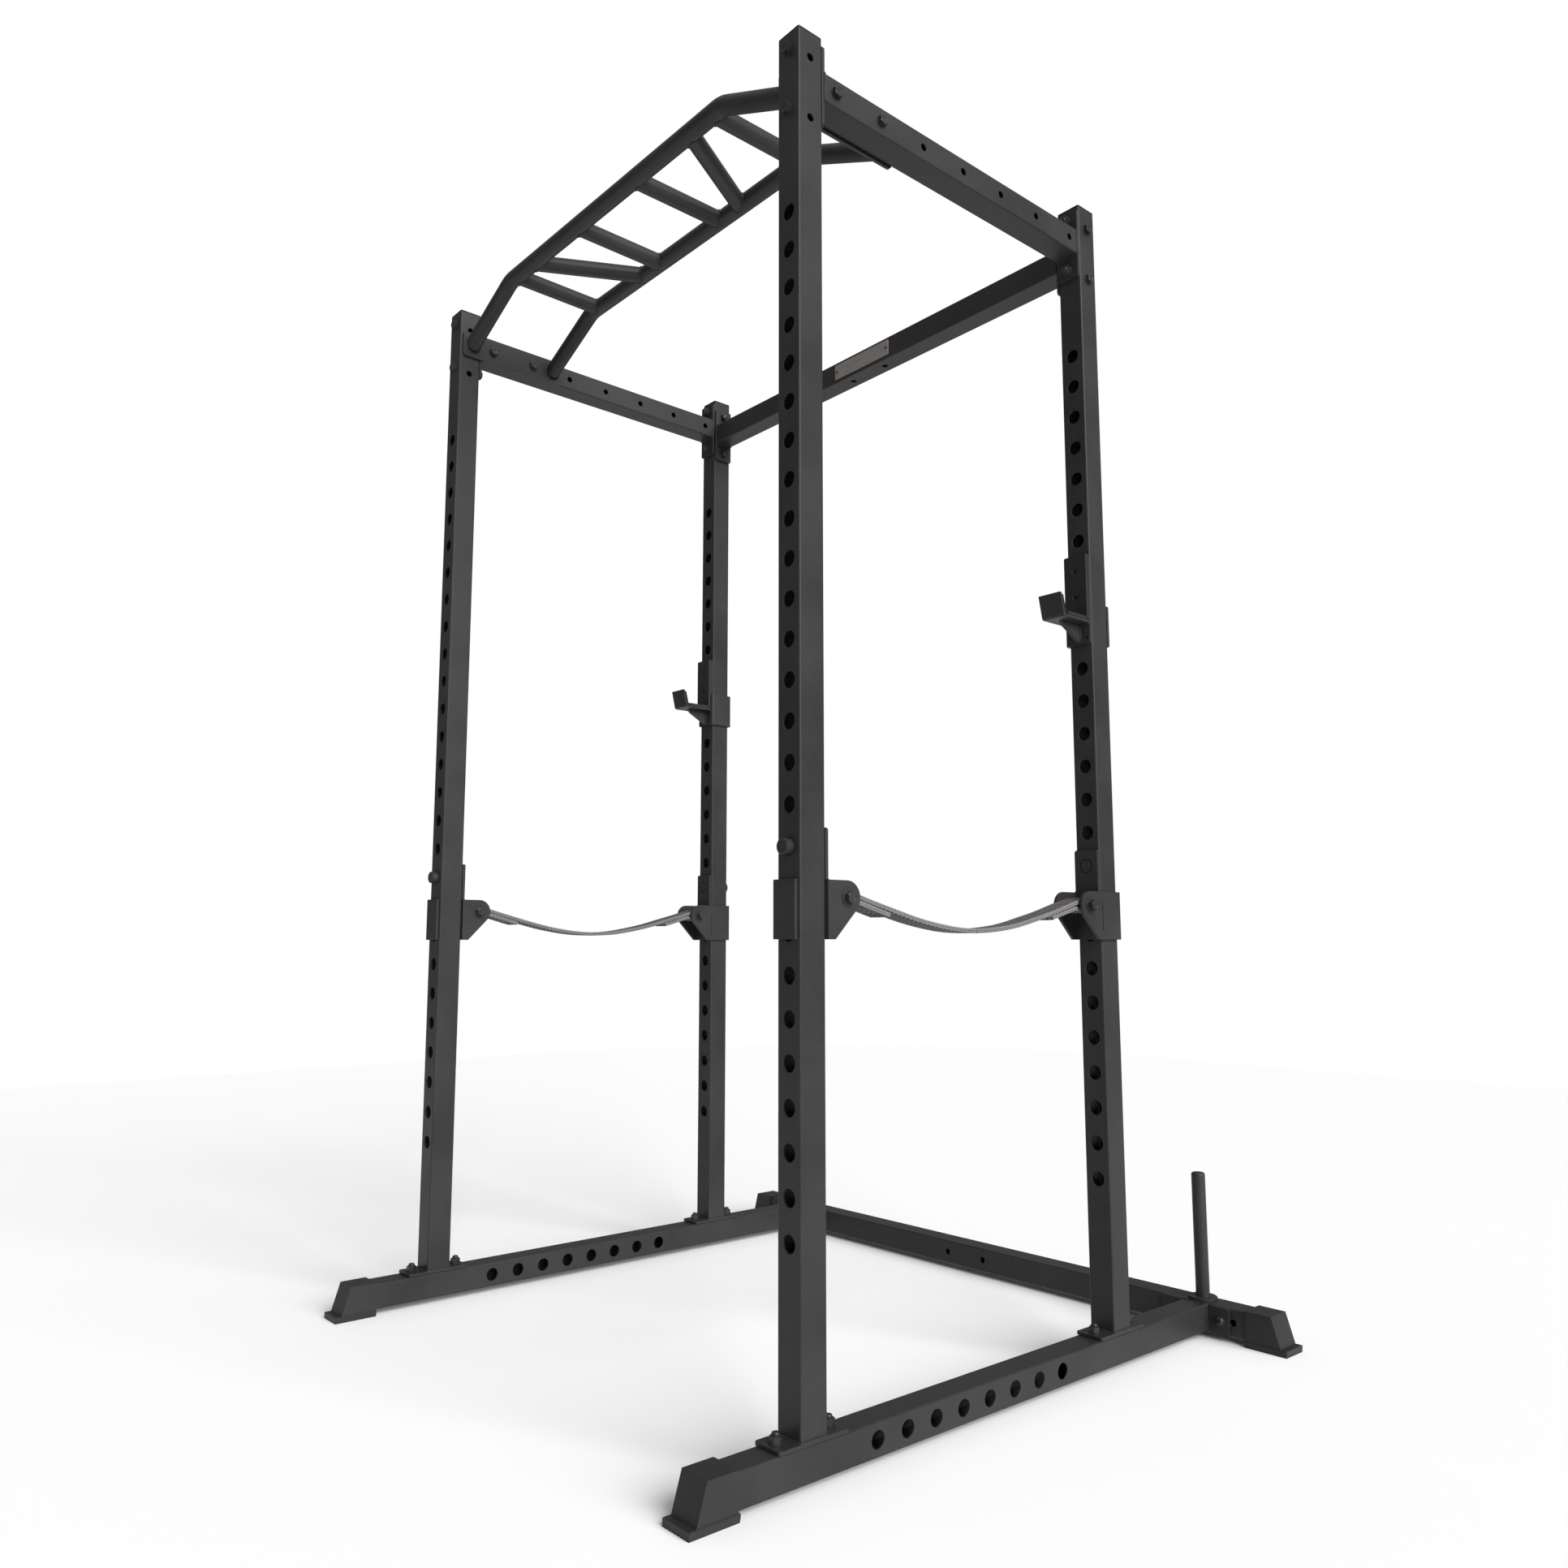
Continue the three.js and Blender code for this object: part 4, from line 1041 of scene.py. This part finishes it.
def cheek_outline(start):
    arc = []
    for i in range(13):
        angle = math.pi / 2 - i / 12 * math.pi * 0.75
        arc.append((BOLT_OUT + CHEEK_R * math.cos(angle), BOLT_DOWN + CHEEK_R * math.sin(angle)))
    slant_y, slant_z = arc[-1]
    foot = (slant_y - (slant_z - CHEEK_BOTTOM), CHEEK_BOTTOM)
    return [(start, CHEEK_BOTTOM), (start, CHEEK_TOP), *arc, foot]


def strap_bracket():
    back, out = GAP, GAP + PLATE
    far = -2 * HALF - GAP - PLATE
    wide = BRACKET_WIDE - 2
    plate = [(-wide, CHEEK_BOTTOM), (wide, CHEEK_BOTTOM), (wide, CHEEK_TOP), (HALF, CHEEK_TOP),
             (HALF, TALL_TOP), (-HALF, TALL_TOP), (-HALF, CHEEK_TOP), (-wide, CHEEK_TOP)]
    plate = prism(rounded(plate, [0.4, 0.4, 0, 3.4, 5, 5, 3.4, 0]), "Y", back, out)
    cheeks = [
        prism(cheek_outline(back), "X", x, x + PLATE, 0.8)
        for x in (BRACKET_WIDE - PLATE, -BRACKET_WIDE)
    ]
    outer, inner = -BRACKET_WIDE, -BRACKET_WIDE + PLATE
    plan = [(outer, out), (outer, far), (HALF - 4.5, far), (HALF - 4.5, far + PLATE),
            (inner, far + PLATE), (inner, out)]
    wrap = prism(rounded(plan, [0.4, 6.5, 0.6, 0.6, 0.6, 0.4]), "Z", CHEEK_BOTTOM, CHEEK_TOP)
    pin = rod("Y", -2 * HALF - KNOB, back + 1, 0, 0, PIN_R, 1.6, 48)
    # The pin's end shows in the plate as a disc in a shallow ring.
    groove = skin(
        [
            [lay("Y", u, v, y) for u, v in circle(r, 48)]
            for r, y in ((PIN_R - 1.6, out + 1), (PIN_R + 1.6, out + 1), (PIN_R + 0.9, out - 2.4),
                         (PIN_R - 0.7, out - 2.4))
        ],
        closed=True,
    )
    cross = bolt_hole("X", -BRACKET_WIDE, BRACKET_WIDE, BOLT_OUT, BOLT_DOWN)
    # Where the low plate's tab comes through the wrap, a thin line shows.
    slit = block(outer - 1, outer + 1.4, out - 4.1, out - 2.6, CHEEK_BOTTOM + 15.7,
                 CHEEK_TOP - 19.5, corner=0.5, axis="X", edge=0.2)
    body = cut(join(plate, *cheeks, wrap, pin), [groove], [cross], [slit])
    beads = [
        weld([Vector((s * (BRACKET_WIDE - PLATE - 0.4), out + 0.4, z))
              for z in (CHEEK_TOP - 3, CHEEK_BOTTOM + 4)], 1.8)
        for s in (-1, 1)
    ]
    return merged([body, *beads])


BOLT_Y = POST_Y - HALF - BOLT_OUT
STRAP_Z = STRAP_PIN_Z + BOLT_DOWN


def add_brackets():
    bracket = strap_bracket()
    for end, back in ENDS.items():
        turn = 0 if back < 0 else 180
        for side, right in SIDES.items():
            name = f"{end}_{side}"
            place = (right * POST_X, back * (POST_Y - HALF), STRAP_PIN_Z, turn)
            stand_in(f"strap_bracket_{name}", moved(bracket, *place), POWDER)
            x = right * POST_X
            bolt = through_bolt("X", x + BRACKET_WIDE, x - BRACKET_WIDE, back * BOLT_Y, STRAP_Z,
                                top=TALL_HEAD)
            stand_in(f"strap_bolt_{name}", bolt, ZINC)


# ---- Safety straps ----
STRAP_HALF = 22
PLY = 7.6
STRAP_SAG = 57.8
STIFFNESS = 0.3  # 0 hangs as a parabola, 1 leaves its bolts level
TAIL = 100  # how far the doubled end reaches from its bolt
JOINED = 29  # how far from its bolt the plies meet
LOOP_CLEAR = 6  # how far from its bolt the upper ply starts to hang
LOOP_R = BOLT_HOLE_R + PLY / 2
LOOP_START, LOOP_STOP = math.radians(-82), math.radians(-285)
TAIL_STEPS, LOOP_STEPS, SPAN_STEPS, FACE_STEPS = 22, 22, 60, 11
STITCH_ROWS = (3, 6, 17, 20)  # places on the tail's route
STRAP_SHARP = math.radians(50)


def strap_line(y):
    """Height of the seam between the two plies, which starts on top of the bolt."""
    along = y / BOLT_Y
    hang = (1 - STIFFNESS) * (1 - along**2) + STIFFNESS * (1 + math.cos(math.pi * along)) / 2
    return STRAP_Z + LOOP_R - PLY / 2 - STRAP_SAG * hang


def ply_point(y, side):
    """The middle of the upper (side 1) or lower (side -1) ply."""
    slope = (strap_line(y + 1) - strap_line(y - 1)) / 2
    across = Vector((-slope, 1)).normalized() * side * (PLY / 2 + 0.15)
    return Vector((y, strap_line(y))) + across


def loop_point(angle):
    """The middle of the webbing where it goes round its bolt."""
    return Vector((-BOLT_Y, STRAP_Z)) + Vector((math.cos(angle), math.sin(angle))) * LOOP_R


def strap_route():
    """The middle of the webbing, front half: from the tail, round the bolt, to mid-span."""
    tail = (TAIL - JOINED) / TAIL_STEPS
    route = [ply_point(TAIL - BOLT_Y - tail * i, -1) for i in range(TAIL_STEPS + 1)]
    below = loop_point(LOOP_START)
    route += [route[-1].lerp(below, i / 8) for i in range(1, 8)]
    turn = (LOOP_STOP - LOOP_START) / LOOP_STEPS
    route += [loop_point(LOOP_START + turn * i) for i in range(LOOP_STEPS + 1)]
    span = (BOLT_Y - LOOP_CLEAR) / SPAN_STEPS
    route += [ply_point(LOOP_CLEAR - BOLT_Y + span * i, 1) for i in range(SPAN_STEPS + 1)]
    return route


def softened(route, rounds=4):
    """The same route with its kinks eased, both ends kept."""
    for _ in range(rounds):
        inner = [(a + b * 2 + c) / 4 for a, b, c in zip(route, route[1:], route[2:])]
        route = [route[0], *inner, route[-1]]
    return route


def ribbon_section(half_width, half_thick):
    """A flat band's section: straight faces, round edges. (across, thickness) pairs."""
    step = (2 * half_width - 3.2) / FACE_STEPS
    top = [(1.6 - half_width + step * i, half_thick) for i in range(FACE_STEPS + 1)]
    rim = [(half_width - 0.4, half_thick * 0.75), (half_width, half_thick * 0.25),
           (half_width, -half_thick * 0.25), (half_width - 0.4, -half_thick * 0.75)]
    bottom = [(u, -v) for u, v in reversed(top)]
    return [*top, *rim, *bottom, *[(-u, -v) for u, v in rim]]


def ribbon(route, x, seed):
    """Webbing along a route in the YZ plane, with a UV map in millimetres."""
    section = ribbon_section(STRAP_HALF, PLY / 2)
    chance = random.Random(seed)
    length, along = 0.0, [0.0]
    for a, b in zip(route, route[1:]):
        length += (b - a).length
        along.append(length)
    waves = [(chance.uniform(0.5, 1), chance.uniform(0, TAU)) for _ in range(3)]
    loops = []
    for i, spot in enumerate(route):
        ahead = route[min(i + 1, len(route) - 1)] - route[max(i - 1, 0)]
        normal = Vector((-ahead.y, ahead.x)).normalized()
        # The edges waver a little and the faces are not quite flat.
        waver = sum(0.25 * w * math.sin(along[i] / (34 - 9 * k) + p)
                    for k, (w, p) in enumerate(waves))
        loop = []
        for u, v in section:
            dent = 0.25 * math.sin(u / 7 + waves[0][1]) * math.sin(along[i] / 17 + waves[1][1])
            put = spot + normal * (v + dent * (1 if v > 0 else 0.6))
            loop.append(Vector((x + u + waver * abs(u) / STRAP_HALF, put.x, put.y)))
        loops.append(loop)
    mesh = skin(loops)
    count = len(section)
    girth = [0.0]
    for a, b in zip(section, section[1:] + section[:1]):
        girth.append(girth[-1] + math.dist(a, b))
    layer = mesh.uv_layers.new(name="cloth")
    top = FACE_STEPS + 1
    for face in mesh.polygons:
        corners = [mesh.loops[i].vertex_index for i in face.loop_indices]
        spots = [c % count for c in corners]
        wraps = max(spots) - min(spots) > count / 2
        for index, corner, spot in zip(face.loop_indices, corners, spots):
            reach = girth[count] if wraps and spot == 0 else girth[spot]
            layer.data[index].uv = (reach, along[corner // count])
        flat = len(spots) == 4 and (
            max(spots) < top or (min(spots) >= top + 3 and max(spots) < 2 * top + 4)
        )
        end_cap = len(spots) > 4
        face.material_index = 0 if flat or end_cap else 1
    return mesh, length


def stitch_rows(route, x, places, seed):
    """Rows of thread across the doubled end, on the tail's outer face."""
    chance = random.Random(seed)
    dashes = []
    for place in places:
        spot, ahead = route[place], route[place + 1] - route[place - 1]
        way = ahead.normalized()
        normal = Vector((-way.y, way.x))
        for i in range(11):
            u = -STRAP_HALF + 4 + i * 3.6
            lean = chance.uniform(-0.25, 0.25)
            path = []
            for t, lift in ((-1.1, -0.35), (-0.7, 0.25), (0, 0.45), (0.7, 0.25), (1.1, -0.35)):
                put = spot + normal * (PLY / 2 + lift) + way * (lean * t)
                path.append(Vector((x + u + t, put.x, put.y)))
            dashes.append(swept(path, 0.42, 6))
    return merged(dashes)


def add_straps():
    """Each strap is two halves that meet at mid-span, one from each end, which on the real cage
    turns with its bracket; the halves drawn here ride on no body.
    """
    route = softened(strap_route())
    for side, right in SIDES.items():
        for end, back in ENDS.items():
            x, name, seed = right * POST_X, f"{end}_{side}", f"{side} {end}"
            cloth, length = ribbon(route, x, seed)
            sewing = stitch_rows(route, x, STITCH_ROWS, seed)
            if back > 0:
                cloth, sewing = mirrored(cloth, "Y"), mirrored(sewing, "Y")
            faces = [face.material_index for face in cloth.polygons]
            strap = piece(f"strap_{name}", cloth, WEB_FACE, None, sharp=STRAP_SHARP)
            strap.data.materials.append(WEB_EDGE)
            strap.data.polygons.foreach_set("material_index", faces)
            thread = piece(f"strap_stitching_{name}", sewing, THREAD, None, sharp=STRAP_SHARP)
            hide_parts(f"strap_end_{name}", f"strap_span_{side}")
            for part in (strap, thread):
                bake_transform(part)


# ---- Floor, light and camera ----
CAMERA_PLACE = (1.939, -1.630, 0.749)
CAMERA_AZIMUTH = 49.20
CAMERA_PITCH = 7.28
LENS = 28.22
SENSOR = 36
FLOOR_REACH = 5.5
FLOOR_CORNER = 3
# What the world sends to everything but the camera, then what the camera sees: colour, strength.
WORLD = (((1.0, 0.985, 0.97, 1), 0.22), ((1, 1, 1, 1), 1.0))


def add_floor():
    """A pale square with round corners, in metres, small enough not to light the cage itself."""
    outline = square(FLOOR_REACH, FLOOR_REACH, FLOOR_CORNER, steps=16)
    floor = make([Vector((x, y, 0)) for x, y in outline], [tuple(range(len(outline)))])
    thing = bpy.data.objects.new("floor", floor)
    floor.materials.append(Finish("floor", (0.93, 0.93, 0.93), 0.75, specular=0.2).material)
    bpy.context.scene.collection.objects.link(thing)


def add_sun(name, source, strength, spread):
    """Even soft light from a direction; spread is the angle that its source takes up."""
    light = bpy.data.lights.new(name, "SUN")
    light.energy = strength
    light.angle = math.radians(spread)
    thing = bpy.data.objects.new(name, light)
    thing.rotation_mode = "QUATERNION"
    thing.rotation_quaternion = (-Vector(source)).to_track_quat("-Z", "Y")
    bpy.context.scene.collection.objects.link(thing)


def add_studio():
    world = bpy.data.worlds.new("studio")
    world.use_nodes = True
    bpy.context.scene.world = world
    nodes, link = world.node_tree.nodes, world.node_tree.links.new
    nodes.clear()
    mix = nodes.new("ShaderNodeMixShader")
    rays = nodes.new("ShaderNodeLightPath")
    link(rays.outputs["Is Camera Ray"], mix.inputs["Fac"])
    for socket, (colour, strength) in enumerate(WORLD, start=1):
        shine = nodes.new("ShaderNodeBackground")
        shine.inputs["Color"].default_value = colour
        shine.inputs["Strength"].default_value = strength
        link(shine.outputs[0], mix.inputs[socket])
    link(mix.outputs[0], nodes.new("ShaderNodeOutputWorld").inputs["Surface"])
    add_sun("key", (0.9, -0.04, 0.45), 5.1, 50)
    add_sun("top", (-0.05, 0.1, 1.0), 0.5, 100)
    view = bpy.context.scene.view_settings
    view.view_transform = "Standard"
    view.look = "None"


def add_camera():
    camera = bpy.data.cameras.new("camera")
    camera.sensor_width = SENSOR
    camera.lens = LENS
    camera.clip_end = 200
    thing = bpy.data.objects.new("camera", camera)
    yaw, pitch = math.radians(CAMERA_AZIMUTH), math.radians(CAMERA_PITCH)
    aim = Vector((-math.sin(yaw) * math.cos(pitch), math.cos(yaw) * math.cos(pitch),
                  math.sin(pitch)))
    thing.location = CAMERA_PLACE
    thing.rotation_mode = "QUATERNION"
    thing.rotation_quaternion = aim.to_track_quat("-Z", "Y")
    bpy.context.scene.collection.objects.link(thing)
    bpy.context.scene.camera = thing


add_camera()
add_uprights()
add_base()
add_top()
add_pull_up_bar()
add_hooks()
add_brackets()
add_straps()
add_floor()
add_studio()
